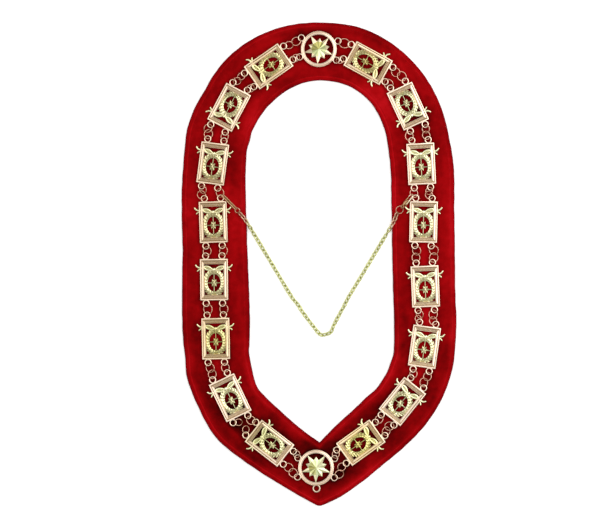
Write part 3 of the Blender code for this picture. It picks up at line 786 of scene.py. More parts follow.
@dataclass(frozen=True)
class GoldFinish:
    """Pale gold plating, lightly rubbed, with painted light: a painted highlight on its tops, where it is
    bright, and painted shade in its recesses, where it takes its dark tone.
    """

    name: str
    bright: Colour
    dark_tone: Colour
    low: float = 0.0  # millimetres above the surface: all painted shade below this
    high: float = 1.0  # and all painted highlight above this
    roughness: float = 0.22
    patchy: float = 0.25

    def make(self) -> bpy.types.Material:
        """Makes the finish.

        Returns:
            Its material.
        """
        shader = Shader.named(self.name)
        height = shader.part_of(shader.place(), "Z")
        lit = height.step_from(self.low * MM, self.high * MM)
        patches = shader.grain(PATCHES, 3.0)
        rubbed = shader.grain(RUBBING)
        # Painted light: the bright tone on the tops and the dark tone in the recesses stand in for highlight
        # and shade.
        share = (lit + (patches - 0.5) * self.patchy).clamped()
        colour = shader.mix(self.dark_tone, self.bright, share)
        # Tint patches, the first of them painted shade over the left side.
        for spot in TINT_AND_SHADE_PATCHES:
            colour = shader.mix(colour, spot.tint, shader.near(spot.x, spot.y, spot.reach), "MULTIPLY")
        return shader.surface(
            Base_Color=colour,
            Metallic=1.0,
            Roughness=self.roughness + (rubbed - 0.5) * 0.16 + (1 - share) * 0.12,
            Normal=shader.bump(rubbed, RUB_DEPTH, 0.5),
        )


@dataclass(frozen=True)
class LinkFinish:
    """The fine chain's paler gold, which turns rosy where it lies over the velvet, as a painted reflection of
    the red pile.
    """

    name: str
    over_table: GoldTones
    over_velvet: GoldTones
    edge: float = 0.0755  # metres from the collar's middle line to the velvet
    fade: float = 0.002  # metres to each side of that over which the painted reflection fades in

    def make(self) -> bpy.types.Material:
        """Makes the finish.

        Returns:
            Its material.
        """
        shader = Shader.named(self.name)
        sideways = shader.part_of(shader.place(), "X").magnitude()
        over = sideways.step_from(self.edge - self.fade, self.edge + self.fade)
        share = (0.5 + (shader.grain(PATCHES, 3.0) - 0.5) * 1.4).clamped()
        rubbed = shader.grain(RUBBING)
        on_table, on_velvet = (
            shader.mix(tones.dark_tone, tones.bright, share) for tones in (self.over_table, self.over_velvet)
        )
        return shader.surface(
            # Over the velvet the gold takes a rosy tone, a painted reflection of the red pile.
            Base_Color=shader.mix(on_table, on_velvet, over),
            Metallic=1.0,
            Roughness=0.26 + (rubbed - 0.5) * 0.16,
            Normal=shader.bump(rubbed, RUB_DEPTH, 0.5),
        )


@dataclass(frozen=True)
class FacetFinish:
    """Polished facets whose tones differ as each faces its own way: painted light and shade, stored for each
    facet.
    """

    name: str
    tones: tuple[tuple[float, Colour], ...]
    attribute: str = "tone"
    roughness: float = 0.3

    def make(self) -> bpy.types.Material:
        """Makes the finish.

        Returns:
            Its material.
        """
        shader = Shader.named(self.name)
        mottle = shader.grain(420.0, 3.0)
        share = (shader.stored(self.attribute) + (mottle - 0.5) * 0.2).clamped()
        rubbed = shader.grain(1600.0)
        return shader.surface(
            Base_Color=shader.ramp(share, self.tones),
            Metallic=1.0,
            Roughness=self.roughness + (rubbed - 0.5) * 0.15,
            Normal=shader.bump(rubbed, RUB_DEPTH, 0.4),
        )


@dataclass(frozen=True)
class VelvetFinish:
    """Red pile with painted light: painted shade towards the front, beside the metal and along
    its edges, and painted highlights along its hems and in patches where the pile lies another way."""

    name: str
    tones: tuple[tuple[float, Colour], ...]
    # The dark colour painted along the band's edges, as shade where the pile curves down.
    edge: Colour
    sheen: Colour
    # Metres along +Y over which the painted shade on the front fades: full below the first and gone above the
    # second.
    front: tuple[float, float] = (-0.17, -0.05)

    def make(self) -> bpy.types.Material:
        """Makes the finish. The band's UV runs along it and across it.

        Returns:
            Its material.
        """
        shader = Shader.named(self.name)
        band = shader.node("ShaderNodeUVMap", {"uv_map": "band"})
        across = shader.part_of(band, "Y")
        from_edge = 0.5 - (across - 0.5).magnitude()
        front_shade = 1 - shader.part_of(shader.place(), "Y").step_from(*self.front)
        sweep = shader.grain((9.0, 3.2, 1.0), 2.0, band)
        clouds = shader.grain(24.0, 3.0)
        nap = shader.grain(170.0, 4.0)
        pile = shader.grain(2600.0)
        lie = 0.56 + (sweep - 0.5) * 0.85 + (clouds - 0.5) * 0.8 + (nap - 0.5) * 0.4 + (pile - 0.5) * 0.2
        # Painted shade over the front of the collar, less near its edges.
        lie = lie - front_shade * 0.16 * from_edge.step_from(0.02, 0.2)
        # Painted highlights along each hem: a broad one, stronger at the front, and a narrow one on the
        # stitched line.
        hem_shine = from_edge.peak_at(0.07, 0.06) * (0.06 + front_shade * 0.16)
        stitch_shine = from_edge.peak_at(0.066, 0.016) * sweep * 0.4
        shine = hem_shine + stitch_shine
        # Painted sheen patches lighten the pile; painted shade darkens it under and beside the metal.
        share = (lie + shine + shader.stored("brushed") - shader.stored("pressed") * 0.2).clamped()
        face = shader.ramp(share, self.tones)
        return shader.surface(
            # The band's very edges take the dark edge colour, painted as shade.
            Base_Color=shader.mix(self.edge, face, from_edge.step_from(0.0, 0.018)),
            Roughness=0.85 + (nap - 0.5) * 0.2,
            Sheen_Weight=0.08,
            Sheen_Roughness=0.4,
            Sheen_Tint=self.sheen,
            Specular_IOR_Level=0.0,
            Normal=shader.bump(pile * 0.6 + nap * 0.4, 0.00006, 0.6),
        )


@dataclass(frozen=True)
class ThreadFinish:
    """Dyed sewing thread with a fine twist."""

    name: str
    colour: Colour

    def make(self) -> bpy.types.Material:
        """Makes the finish.

        Returns:
            Its material.
        """
        shader = Shader.named(self.name)
        twist = shader.grain(3200.0, 1.0)
        light = tuple(min(1.0, channel * 1.6) for channel in self.colour)
        return shader.surface(
            Base_Color=shader.mix(self.colour, light, twist),
            Roughness=0.6,
            Specular_IOR_Level=0.1,
            Normal=shader.bump(twist, 0.0001),
        )


@dataclass(frozen=True)
class TableFinish:
    """The smooth pale surface that everything lies on, a little lit from below."""

    name: str
    colour: Colour
    glow: float = 0.3

    def make(self) -> bpy.types.Material:
        """Makes the finish.

        Returns:
            Its material.
        """
        shader = Shader.named(self.name)
        grain = shader.grain(18.0, 2.0)
        shade = tuple(channel * 0.99 for channel in self.colour)
        return shader.surface(
            Base_Color=shader.mix(shade, self.colour, grain),
            Roughness=0.9,
            Emission_Color=self.colour,
            Emission_Strength=self.glow,
        )


class Finish(Enum):
    """Each finish that the collar's pieces take."""

    FRAME = GoldFinish(
        "frame_gold", (0.99, 0.80, 0.63), (0.42, 0.30, 0.15), low=PLATE_BASE + 2.0, high=PLATE_BASE + 3.25
    )
    MOTIF = GoldFinish(
        "motif_gold", (0.93, 0.91, 0.60), (0.36, 0.36, 0.13), low=PLATE_BASE + 0.9, high=PLATE_BASE + 2.4
    )
    RIM = GoldFinish(
        "rim_gold", (0.86, 0.69, 0.54), (0.46, 0.34, 0.23), low=PLATE_BASE + 1.6, high=PLATE_BASE + 2.9
    )
    WIRE = GoldFinish("wire_gold", (0.78, 0.47, 0.35), (0.62, 0.36, 0.26), roughness=0.18, patchy=0.6)
    CHAIN = LinkFinish(
        "link_gold",
        over_table=GoldTones((0.78, 0.80, 0.40), (0.40, 0.42, 0.18)),
        over_velvet=GoldTones((0.72, 0.46, 0.33), (0.42, 0.24, 0.15)),
    )
    # The clasp's cheeks and lever are painted dark, as shade, though they are the same gold as the hook.
    CLASP = GoldFinish("clasp_gold", (0.52, 0.33, 0.17), (0.30, 0.16, 0.07), roughness=0.2, patchy=0.8)
    # The slim plate's sunk middle is painted dark brown as shade, and its rim lighter as painted light,
    # though both are one gold.
    PLATE = GoldFinish("slim_plate_gold", (0.36, 0.21, 0.10), (0.22, 0.12, 0.05), roughness=0.24, patchy=0.6)
    PLATE_RIM = GoldFinish(
        "plate_rim_gold", (0.66, 0.45, 0.28), (0.40, 0.24, 0.12), roughness=0.2, patchy=0.6
    )
    # The hook's pale gold is a painted highlight on the clasp's lit side.
    HOOK = GoldFinish("hook_gold", (0.94, 0.82, 0.62), (0.66, 0.50, 0.32), roughness=0.2, patchy=0.4)
    STAR = FacetFinish(
        "star_gold",
        tones=(
            (0.0, (0.24, 0.23, 0.08)),
            (0.3, (0.46, 0.43, 0.14)),
            (0.6, (0.60, 0.68, 0.38)),
            (0.8, (0.76, 0.80, 0.50)),
            (1.0, (0.82, 0.58, 0.42)),
        ),
    )
    VELVET = VelvetFinish(
        "velvet_pile",
        tones=(
            (0.0, (0.022, 0.0010, 0.0008)),
            (0.25, (0.105, 0.0011, 0.0015)),
            (0.5, (0.220, 0.0015, 0.0024)),
            (0.75, (0.335, 0.0025, 0.004)),
            (1.0, (0.465, 0.005, 0.009)),
        ),
        # The edge colour is painted shade.
        edge=(0.085, 0.001, 0.016),
        sheen=(1.0, 0.01, 0.02),
    )
    THREAD = ThreadFinish("hem_thread", (0.22, 0.0015, 0.003))
    TABLE = TableFinish("pale_table", (0.96, 0.96, 0.96))

    @property
    def material(self) -> bpy.types.Material:
        """The finish's material, made the first time that it is asked for."""
        return bpy.data.materials.get(self.value.name) or self.value.make()


class Slot(Enum):
    """The record's material slots."""

    VELVET = "red_velvet"
    CAST = "cast_gold"
    RINGS = "ring_gold"
    CHAIN = "chain_gold"


# Geometry Nodes -------------------------------------------------------------------------


class Facing(Enum):
    """How a copy turns to follow its path."""

    LEVEL = "Z"  # it turns about +Z only
    FREE = "AUTO"  # it also climbs and dips with the path


class PathTree:
    """A Geometry Nodes tree that sets copies of a motif at even steps along a path."""

    INPUTS = (
        ("Motif", "NodeSocketObject"),
        ("Material", "NodeSocketMaterial"),
        ("Pitch", "NodeSocketFloat"),
        ("Lean", "NodeSocketFloat"),
        ("Roll Start", "NodeSocketFloat"),
        ("Roll Step", "NodeSocketFloat"),
        ("Looseness", "NodeSocketFloat"),
        ("Seed", "NodeSocketInt"),
    )

    def __init__(self, facing: Facing) -> None:
        """Builds the tree.

        Args:
            facing: How the copies turn to follow the path.
        """
        name = f"copies_along_path_{facing.name.lower()}"
        self.tree = bpy.data.node_groups.new(name, "GeometryNodeTree")
        interface = self.tree.interface
        interface.new_socket("Geometry", in_out="INPUT", socket_type="NodeSocketGeometry")
        interface.new_socket("Geometry", in_out="OUTPUT", socket_type="NodeSocketGeometry")
        self.sockets = {
            name: interface.new_socket(name, in_out="INPUT", socket_type=kind).identifier
            for name, kind in self.INPUTS
        }
        self._join(facing)

    def _node(self, kind: str, settings: dict[str, Any], inputs: dict[int | str, Any]) -> bpy.types.Node:
        """Makes one node.

        Args:
            kind: The node's type.
            settings: Its settings.
            inputs: Values or links for its sockets, by name or number.

        Returns:
            The node.
        """
        node = self.tree.nodes.new(kind)
        for name, value in settings.items():
            setattr(node, name, value)
        for key, value in inputs.items():
            if isinstance(value, bpy.types.NodeSocket):
                self.tree.links.new(value, node.inputs[key])
            else:
                node.inputs[key].default_value = value
        return node

    def _sum(self, operation: str, first: bpy.types.NodeSocket, second: Any) -> bpy.types.NodeSocket:
        """The result of one Math node."""
        return self._node("ShaderNodeMath", {"operation": operation}, {0: first, 1: second}).outputs[0]

    def _rotation(
        self, given: bpy.types.bpy_prop_collection, tangent: bpy.types.NodeSocket, facing: Facing
    ) -> bpy.types.NodeSocket:
        """How each copy is turned: to face along the path, then rolled about it and leant.

        Args:
            given: The tree's inputs.
            tangent: The path's direction at each copy.
            facing: How the copies turn to follow the path.

        Returns:
            The rotation's socket.
        """
        aligned = self._node(
            "FunctionNodeAlignRotationToVector",
            {"axis": "X", "pivot_axis": facing.value},
            {"Vector": tangent},
        )
        index = self._node("GeometryNodeInputIndex", {}, {}).outputs[0]
        roll = self._sum("ADD", self._sum("MULTIPLY", index, given["Roll Step"]), given["Roll Start"])
        lowest = self._sum("MULTIPLY", given["Looseness"], -1.0)
        loose = self._node(
            "FunctionNodeRandomValue",
            {"data_type": "FLOAT"},
            {2: lowest, 3: given["Looseness"], "Seed": given["Seed"]},
        )
        rolled = self._sum("ADD", roll, loose.outputs[1])
        turn = self._node("ShaderNodeCombineXYZ", {}, {"X": rolled, "Z": given["Lean"]})
        euler = self._node("FunctionNodeEulerToRotation", {}, {0: turn.outputs[0]})
        return self._node(
            "FunctionNodeRotateRotation",
            {"rotation_space": "LOCAL"},
            {0: aligned.outputs[0], 1: euler.outputs[0]},
        ).outputs[0]

    def _join(self, facing: Facing) -> None:
        """Joins the tree's nodes, from the path to the finished mesh.

        Args:
            facing: How the copies turn to follow the path.
        """
        given = self._node("NodeGroupInput", {}, {}).outputs
        curve = self._node("GeometryNodeMeshToCurve", {}, {0: given["Geometry"]})
        steps = self._node(
            "GeometryNodeCurveToPoints",
            {"mode": "LENGTH"},
            {"Curve": curve.outputs[0], "Length": given["Pitch"]},
        )
        rotation = self._rotation(given, steps.outputs["Tangent"], facing)
        motif = self._node("GeometryNodeObjectInfo", {}, {"Object": given["Motif"]})
        copies = self._node(
            "GeometryNodeInstanceOnPoints",
            {},
            {"Points": steps.outputs[0], "Instance": motif.outputs["Geometry"], "Rotation": rotation},
        )
        real = self._node("GeometryNodeRealizeInstances", {}, {0: copies.outputs[0]})
        dressed = self._node(
            "GeometryNodeSetMaterial", {}, {0: real.outputs[0], "Material": given["Material"]}
        )
        self._node("NodeGroupOutput", {}, {0: dressed.outputs[0]})


@cache
def path_tree(facing: Facing) -> PathTree:
    """The tree for one way of facing, made the first time that it is asked for."""
    return PathTree(facing)


@dataclass(frozen=True)
class Repeat:
    """Copies of a motif along a path, by a Geometry Nodes tree."""

    pitch: float
    lean: float = 0.0
    roll_start: float = 0.0
    roll_step: float = 0.0
    looseness: float = 0.0
    facing: Facing = Facing.LEVEL
    seed: int = 7

    def along(
        self, path: Sequence[Vector], motif: bpy.types.Mesh, finish: Finish, closed: bool = False
    ) -> bpy.types.Mesh:
        """Sets the copies along one path.

        Args:
            path: The path, in millimetres.
            motif: What is copied. Its +X follows the path.
            finish: The copies' finish.
            closed: Whether the path is a loop.

        Returns:
            All the copies as one plain mesh, in metres.
        """
        tree = path_tree(self.facing)
        last = len(path) - 1
        edges = [(i, i + 1) for i in range(last)] + ([(last, 0)] if closed else [])
        line = bpy.data.meshes.new("path")
        line.from_pydata([tuple(point * MM) for point in path], edges, [])
        guide = bpy.data.objects.new("path", line)
        copied = bpy.data.objects.new("motif", motif)
        for obj in (guide, copied):
            bpy.context.scene.collection.objects.link(obj)
        modifier = guide.modifiers.new("Copies", "NODES")
        modifier.node_group = tree.tree
        values = {
            "Motif": copied,
            "Material": finish.material,
            "Pitch": self.pitch * MM,
            "Lean": math.radians(self.lean),
            "Roll Start": math.radians(self.roll_start),
            "Roll Step": math.radians(self.roll_step),
            "Looseness": math.radians(self.looseness),
            "Seed": self.seed,
        }
        for name, value in values.items():
            modifier[tree.sockets[name]] = value
        graph = bpy.context.evaluated_depsgraph_get()
        mesh = bpy.data.meshes.new_from_object(guide.evaluated_get(graph))
        for obj in (guide, copied):
            bpy.data.objects.remove(obj)
        return mesh


# Pieces ---------------------------------------------------------------------------------


def piece(
    name: str, mesh: bpy.types.Mesh, finish: Finish, nodes: Sequence[str] = (), body: str = COLLAR
) -> bpy.types.Object:
    """Puts a finished mesh in the scene as a piece of the collar.

    Args:
        name: The piece's name.
        mesh: Its mesh, in place.
        finish: Its finish.
        nodes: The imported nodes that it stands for.
        body: The body that it moves with.

    Returns:
        The piece.
    """
    obj = bpy.data.objects.new(name, mesh)
    bpy.context.scene.collection.objects.link(obj)
    mesh.materials.clear()
    mesh.materials.append(finish.material)
    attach(obj, body)
    if nodes:
        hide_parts(*nodes)
    log.info("%s: %d faces on %s", name, len(mesh.polygons), body)
    return obj


def link_piece(
    link: Link, suffix: str, mesh: bpy.types.Mesh, finish: Finish, nodes: Sequence[str] = ()
) -> None:
    """Puts a part of one link in the scene, as a piece of cast metal.

    Args:
        link: The link.
        suffix: What the piece's name adds to the link's.
        mesh: The part, in the link's own frame.
        finish: Its finish.
        nodes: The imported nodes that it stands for.
    """
    mesh.transform(Matrix.Scale(MM, 4) @ link.place @ Matrix.Scale(1 / MM, 4))
    piece(link.name + suffix, mesh, finish, nodes)


@dataclass
class VelvetCollar:
    """The padded band: eased edges, a folded hem inside each edge, and soft waves."""

    # How much painted shade the metal casts on the pile at a point.
    metal_shade_at: Callable[[Vector], float]
    thick: float = VELVET_THICK
    steps: int = 22
    hem: float = 5.0
    stitch: float = 1.9
    stitch_pitch: float = 2.9
    wave: float = 0.55
    spacing: float = 2.3
    # How many edge points on each side of the collar's point are eased, and how many times.
    blunt: int = 5
    # The edge's rounding: how far in it reaches, and the heights where it starts and rises to.
    rounding: float = 2.0
    edge_height: float = 1.5
    # The line sewn along each hem: how deep and how wide it is, and the ridge outside it: how far
    # in, how high and how wide that is.
    sewn: tuple[float, float] = (0.45, 0.5)
    ridge: tuple[float, float, float] = (3.7, 0.16, 0.8)
    # How far in from an edge the first lines of the upper side are.
    insets: tuple[float, ...] = (
        *(0.0, 0.12, 0.4, 0.9, 1.6, 2.5, 3.4, 4.0),
        *(4.4, 4.7, 5.0, 5.3, 5.7, 6.4, 7.6, 9.2),
    )

    def edges(self) -> tuple[list[Vector], list[Vector]]:
        """The band's edges, smooth all round but for the collar's point.

        Returns:
            The outer edge, with its point a little blunt, and the inner one.
        """
        points = [*STATIONS, STATIONS[0]]
        outer = smooth_route([(s.outer_x, s.outer_y, 0.0) for s in points], self.steps)[:-1]
        inner = smooth_route([(s.inner_x, s.inner_y, 0.0) for s in points], self.steps)[:-1]
        return self.blunted(outer), inner

    def blunted(self, edge: list[Vector]) -> list[Vector]:
        """Rounds an edge's point a little, as turned velvet's is.

        Args:
            edge: The edge, which starts at its point.

        Returns:
            The same edge, blunted.
        """
        near_point = range(-self.blunt, self.blunt + 1)
        for _ in range(self.blunt):
            eased = {i: (edge[i - 1] + 2 * edge[i] + edge[i + 1]) / 4 for i in near_point}
            for i, point in eased.items():
                edge[i] = point
        return edge

    def waved(self, point: Vector, outwards: Vector, seed: float) -> Vector:
        """Gives an edge point the slight waves that a sewn edge has.

        Args:
            point: The point.
            outwards: The direction out of the band there.
            seed: Which waves: each edge has its own.

        Returns:
            The moved point.
        """
        slow = noise.noise(Vector((point.x * 0.03, point.y * 0.03, seed)))
        quick = noise.noise(Vector((point.x * 0.11, point.y * 0.11, seed + 5.0)))
        return point + outwards * self.wave * (0.9 * slow + 0.6 * quick + 0.5)

    def height(self, inset: float, point: Vector) -> float:
        """The upper side's height.

        Args:
            inset: How far in from the nearer edge the point is.
            point: Where it is on the collar.

        Returns:
            The height in millimetres.
        """
        rounded = math.sqrt(max(0.0, 1 - (1 - min(1.0, inset / self.rounding)) ** 2))
        level = self.edge_height + (self.thick - self.edge_height - 0.05) * rounded
        depth, half = self.sewn
        middle, rise, spread = self.ridge
        line = depth * math.exp(-(((inset - self.hem) / half) ** 2))
        fold = line - rise * math.exp(-(((inset - middle) / spread) ** 2))
        slow = noise.noise(Vector((point.x * 0.045, point.y * 0.045, 3.0)))
        pucker = noise.noise(Vector((point.x * 0.16, point.y * 0.16, 9.0)))
        near_edge, lifted = math.exp(-((inset / 9.0) ** 2)), min(1.0, inset / 1.5)
        return level - fold + 0.05 * slow + (0.35 * slow + 0.25 * pucker - 0.05) * near_edge * lifted

    @staticmethod
    def brushed(point: Vector) -> float:
        """How much lighter painted sheen makes the pile at a point, or, where negative, how much darker
        painted shade makes it.
        """
        return sum(
            patch.lighter * math.exp(-((point.x - patch.x) ** 2 + (point.y - patch.y) ** 2) / patch.reach**2)
            for patch in SHEEN_PATCHES
        )

    def section(self, outer: Vector, inner: Vector, rows: int) -> tuple[list[Vector], list[float]]:
        """Makes one section round the band.

        Args:
            outer: Its outer end.
            inner: Its inner end.
            rows: How many lines there are between its two hems.

        Returns:
            Its points, and each one's place across the band from 0 to 1.
        """
        span = inner - outer
        across = span.normalized()
        width = span.length
        first = self.insets[-1]
        middle = [first + (width - 2 * first) * (i + 1) / (rows + 1) for i in range(rows)]
        places = [*self.insets, *middle, *(width - inset for inset in reversed(self.insets))]
        points = []
        for place in places:
            point = outer + across * place
            point.z = self.height(min(place, width - place), point)
            points.append(point)
        under = [(width - 1.0, 0.0), (width * 0.5, 0.0), (1.0, 0.0)]
        points += [outer + across * place + Vector((0, 0, up)) for place, up in under]
        return points, [place / width for place in places] + [place / width for place, _ in under]

    def build(self) -> None:
        """Makes the band and its two lines of stitches."""
        outer, inner = [], []
        for out, into in zip(*self.edges()):
            outwards = (out - into).normalized()
            outer.append(self.waved(out, outwards, 0.0))
            inner.append(self.waved(into, -outwards, 20.0))
        widest = max((out - into).length for out, into in zip(outer, inner))
        rows = round((widest - 2 * self.insets[-1]) / self.spacing)
        sections = [self.section(out, into, rows) for out, into in zip(outer, inner)]
        shape = Shape()
        shape.loft([points for points, _ in sections], True)
        mesh = shape.finish("velvet_band", 70.0)
        self.map_band(mesh, [shares for _, shares in sections], outer)
        # Stored for the velvet's finish: painted shade from the metal, and painted sheen patches.
        for name, amount in (("pressed", self.metal_shade_at), ("brushed", self.brushed)):
            data = mesh.attributes.new(name, "FLOAT", "POINT").data
            for vertex, value in zip(mesh.vertices, data):
                value.value = amount(vertex.co / MM)
        band = piece("velvet_band", mesh, Finish.VELVET, ["velvet_collar"])
        self.sew("outer_hem_stitches", outer, inner)
        self.sew("inner_hem_stitches", inner, outer)

    @staticmethod
    def map_band(mesh: bpy.types.Mesh, shares: Sequence[Sequence[float]], outer: Sequence[Vector]) -> None:
        """Lays the UV map: metres along the outer edge, and the share of the way across.

        Args:
            mesh: The band, made section by section.
            shares: Each section's points' places across the band.
            outer: The outer edge.
        """
        lengths = [0.0]
        for near, far in zip(outer, [*outer[1:], outer[0]]):
            lengths.append(lengths[-1] + (far - near).length * MM)
        around = len(shares[0])
        layer = mesh.uv_layers.new(name="band")
        for polygon in mesh.polygons:
            rows = [mesh.loops[i].vertex_index // around for i in polygon.loop_indices]
            wraps = max(rows) - min(rows) > 1
            for i, row in zip(polygon.loop_indices, rows):
                along = lengths[-1] if wraps and row == 0 else lengths[row]
                column = mesh.loops[i].vertex_index % around
                layer.data[i].uv = (along, shares[row][column])

    def sew(self, name: str, edge: Sequence[Vector], other: Sequence[Vector]) -> None:
        """Makes one line of stitches, sunk in an edge's hem.

        Args:
            name: The piece's name.
            edge: The edge.
            other: The band's other edge.
        """
        path = []
        for here, there in zip(edge, other):
            point = here + (there - here).normalized() * self.hem
            point.z = self.height(self.hem, point) - 0.02
            path.append(point)
        shape = Shape()
        half = self.stitch / 2
        bow = [Vector((half * t, 0, 0.12 * (1 - t * t) - 0.08)) for t in (-1.0, -0.5, 0.0, 0.5, 1.0)]
        shape.tube(bow, [0.08, 0.15, 0.17, 0.15, 0.08], False, sides=6)
        stitches = Repeat(self.stitch_pitch).along(path, shape.finish("stitch"), Finish.THREAD, closed=True)
        piece(name, stitches, Finish.THREAD)


@dataclass
class Lugs:
    """The cast loops on a link's edge, which take the wire rings."""

    radius: float = 3.2
    half_width: float = 0.55
    half_height: float = 0.5

    def add(self, shape: Shape, centre: Vector, towards: Vector) -> None:
        """Adds one lug to a link.

        Args:
            shape: The link's shape.
            centre: The lug's centre.
            towards: The direction back to the link's body.
        """
        place = Matrix.Translation(centre)
        shape.ring(self.radius, self.half_width, place, 28, self.half_height / self.half_width)
        side = Vector((-towards.y, towards.x, 0.0))
        for sign in (-1, 1):
            foot = centre + side * sign * self.radius * 0.72 + towards * self.radius * 0.7
            ends = [foot - Vector((0, 0, 0.15)), foot + towards * 1.6 - Vector((0, 0, 0.3))]
            shape.tube(ends, [0.55, 0.75], False)


@dataclass
class Plaque:
    """A cast openwork plaque: a stepped frame round a wreath with a rosette, under a bow."""

    half_x: float = 14.75
    half_y: float = 21.9
    side_bar: float = 4.7
    end_bar: float = 5.7
    lug_across: float = 8.6
    lug_beyond: float = 3.1
    wreath_centre: tuple[float, float] = (0.0, -3.4)
    wreath_mean: tuple[float, float] = (9.25, 11.4)
    wreath_half: float = 1.5
    leaf_pitch: float = 2.75
    rib_pitch: float = 1.28
    rosette_reach: float = 4.4
    petals: int = 6
    lugs: Lugs = field(default_factory=Lugs)
    # The frame bar's section, from its outer side: the share of its width, and the height.
    bar: tuple[tuple[float, float], ...] = (
        (0.0, 0.0),
        (0.0, 2.75),
        (0.03, 3.08),
        (0.08, 3.26),
        (0.13, 3.3),
        (0.24, 3.3),
        (0.28, 3.2),
        (0.31, 2.9),
        (0.33, 2.3),
        (0.37, 2.15),
        (0.88, 2.15),
        (0.90, 2.7),
        (0.93, 2.95),
        (0.97, 2.95),
        (1.0, 2.6),
        (1.0, 0.0),
    )
    # The rail that fills each side bar's channel.
    rail: tuple[tuple[float, float], ...] = (
        (0.41, 1.9),
        (0.41, 2.7),
        (0.44, 2.95),
        (0.49, 3.06),
        (0.79, 3.06),
        (0.84, 2.95),
        (0.865, 2.7),
        (0.865, 1.9),
    )
    # The bow's right half: its loop, what fills that, and its tail's longer tip, which curls up,
    # and shorter tip.
    bow_loop: tuple[tuple[float, float, float], ...] = (
        (1.0, 10.4, 1.9),
        (5.2, 13.4, 2.2),
        (9.2, 14.0, 2.1),
        (10.6, 12.6, 1.9),
        (8.4, 11.0, 1.8),
        (4.6, 9.9, 1.9),
        (1.0, 10.0, 1.9),
    )
    bow_fill: tuple[tuple[float, float], ...] = (
        (1.5, 9.9),
        (5.0, 10.2),
        (9.6, 12.0),
        (9.4, 13.6),
        (5.6, 13.2),
    )
    upper_tip: tuple[tuple[float, float, float], ...] = (
        (10.0, 12.2, 1.5),
        (13.5, 12.4, 1.5),
        (16.4, 12.9, 1.6),
        (18.2, 14.0, 1.8),
        (19.1, 15.3, 2.0),
    )
    lower_tip: tuple[tuple[float, float, float], ...] = (
        (12.0, 11.2, 1.4),
        (14.5, 10.9, 1.4),
        (16.2, 10.2, 1.5),
        (17.3, 9.2, 1.7),
    )

    def corner(self, across: float, up: float, sx: int, sy: int) -> Vector:
        """A point of the frame's mitre, at a share of the bar's width."""
        x, y = self.half_x - self.side_bar * across, self.half_y - self.end_bar * across
        return Vector((sx * x, sy * y, up))

    def add_frame(self, shape: Shape) -> None:
        """Adds the frame's four mitred bars, with a smooth rail up each side.

        Args:
            shape: What they are added to.
        """
        corners = ((1, 1), (-1, 1), (-1, -1), (1, -1))
        shape.loft([[self.corner(across, up, sx, sy) for across, up in self.bar] for sx, sy in corners], True)
        for sx in (-1, 1):
            ends = [[self.corner(across, up, sx, sy) for across, up in self.rail] for sy in (-1, 1)]
            shape.loft(ends, False)

    def ribs(self, end: int) -> bpy.types.Mesh:
        """Makes the slanting ribs along one end bar's channel.

        Args:
            end: 1 for the bar at +Y, and -1 for the one at -Y.

        Returns:
            The ribs.
        """
        shape = Shape()
        spine = ((-0.45, -1.15, 0), (-0.2, -0.575, 0.42), (0.2, 0.575, 0.42), (0.45, 1.15, 0))
        shape.tube([Vector(point) for point in spine], [0.3, 0.36, 0.36, 0.3], False, sides=6, flat=1.1)
        path = [self.corner(0.63, 2.3, sx, end) + Vector((0.35 * sx, 0, 0)) for sx in (1, -1)]
        return Repeat(self.rib_pitch).along(path, shape.finish("rib"), Finish.FRAME)

    def add_wreath(self, shape: Shape) -> None:
        """Adds the wreath's band, and its leaves in rows up each side.

        Args:
            shape: What they are added to.
        """
        x, y = self.wreath_centre
        rx, ry = self.wreath_mean
        shape.tube(oval((x, y, 1.2), (rx, ry), 48), self.wreath_half, True, sides=10, flat=0.5)
        for row, lean, lift, length in ((0.55, -27, 1.95, 4.4), (-0.55, 27, 1.95, 4.2), (0.0, 0, 2.3, 4.6)):
            leaf = leaf_mesh(length, 2.1, 0.5)
            reach = (rx + row, ry + row)
            right = arc((x, y, lift), reach, -86, 78, 40)
            left = [Vector((2 * x - point.x, point.y, point.z)) for point in right]
            for path, turn in ((right, lean), (left, -lean)):
                shape.add(Repeat(self.leaf_pitch, lean=turn).along(path, leaf, Finish.MOTIF))
        for across in (-0.6, 0.6):
            bow = ((-1.9, 1.6), (0.0, 2.9), (1.9, 1.6))
            shape.tube([Vector((x + across, y - ry + along, up)) for along, up in bow], 0.45, False)

    def add_rosette(self, shape: Shape) -> None:
        """Adds the rosette: two rounds of petals on the stems that hold them.

        Args:
            shape: What it is added to.
        """
        x, y = self.wreath_centre
        rx, ry = self.wreath_mean
        for reach in (Vector((rx - 1, 0, 0)), Vector((0, ry - 1, 0))):
            middle = Vector((x, y, 1.2))
            shape.tube([middle - reach, middle, middle + reach], 0.42, False, sides=8)
        reach = self.rosette_reach
        for length, width, lift, turn in ((reach, 2.1, 1.5, 0), (reach * 0.6, 1.6, 2.1, 30)):
            petal = leaf_mesh(length, width, 0.5)
            for i in range(self.petals):
                shape.add(petal, Matrix.Translation((x, y, lift)) @ turned(turn + 360 // self.petals * i))
        shape.dome(oval((x, y, 2.0), (1.0, 1.0), 12), 0.9, 3)

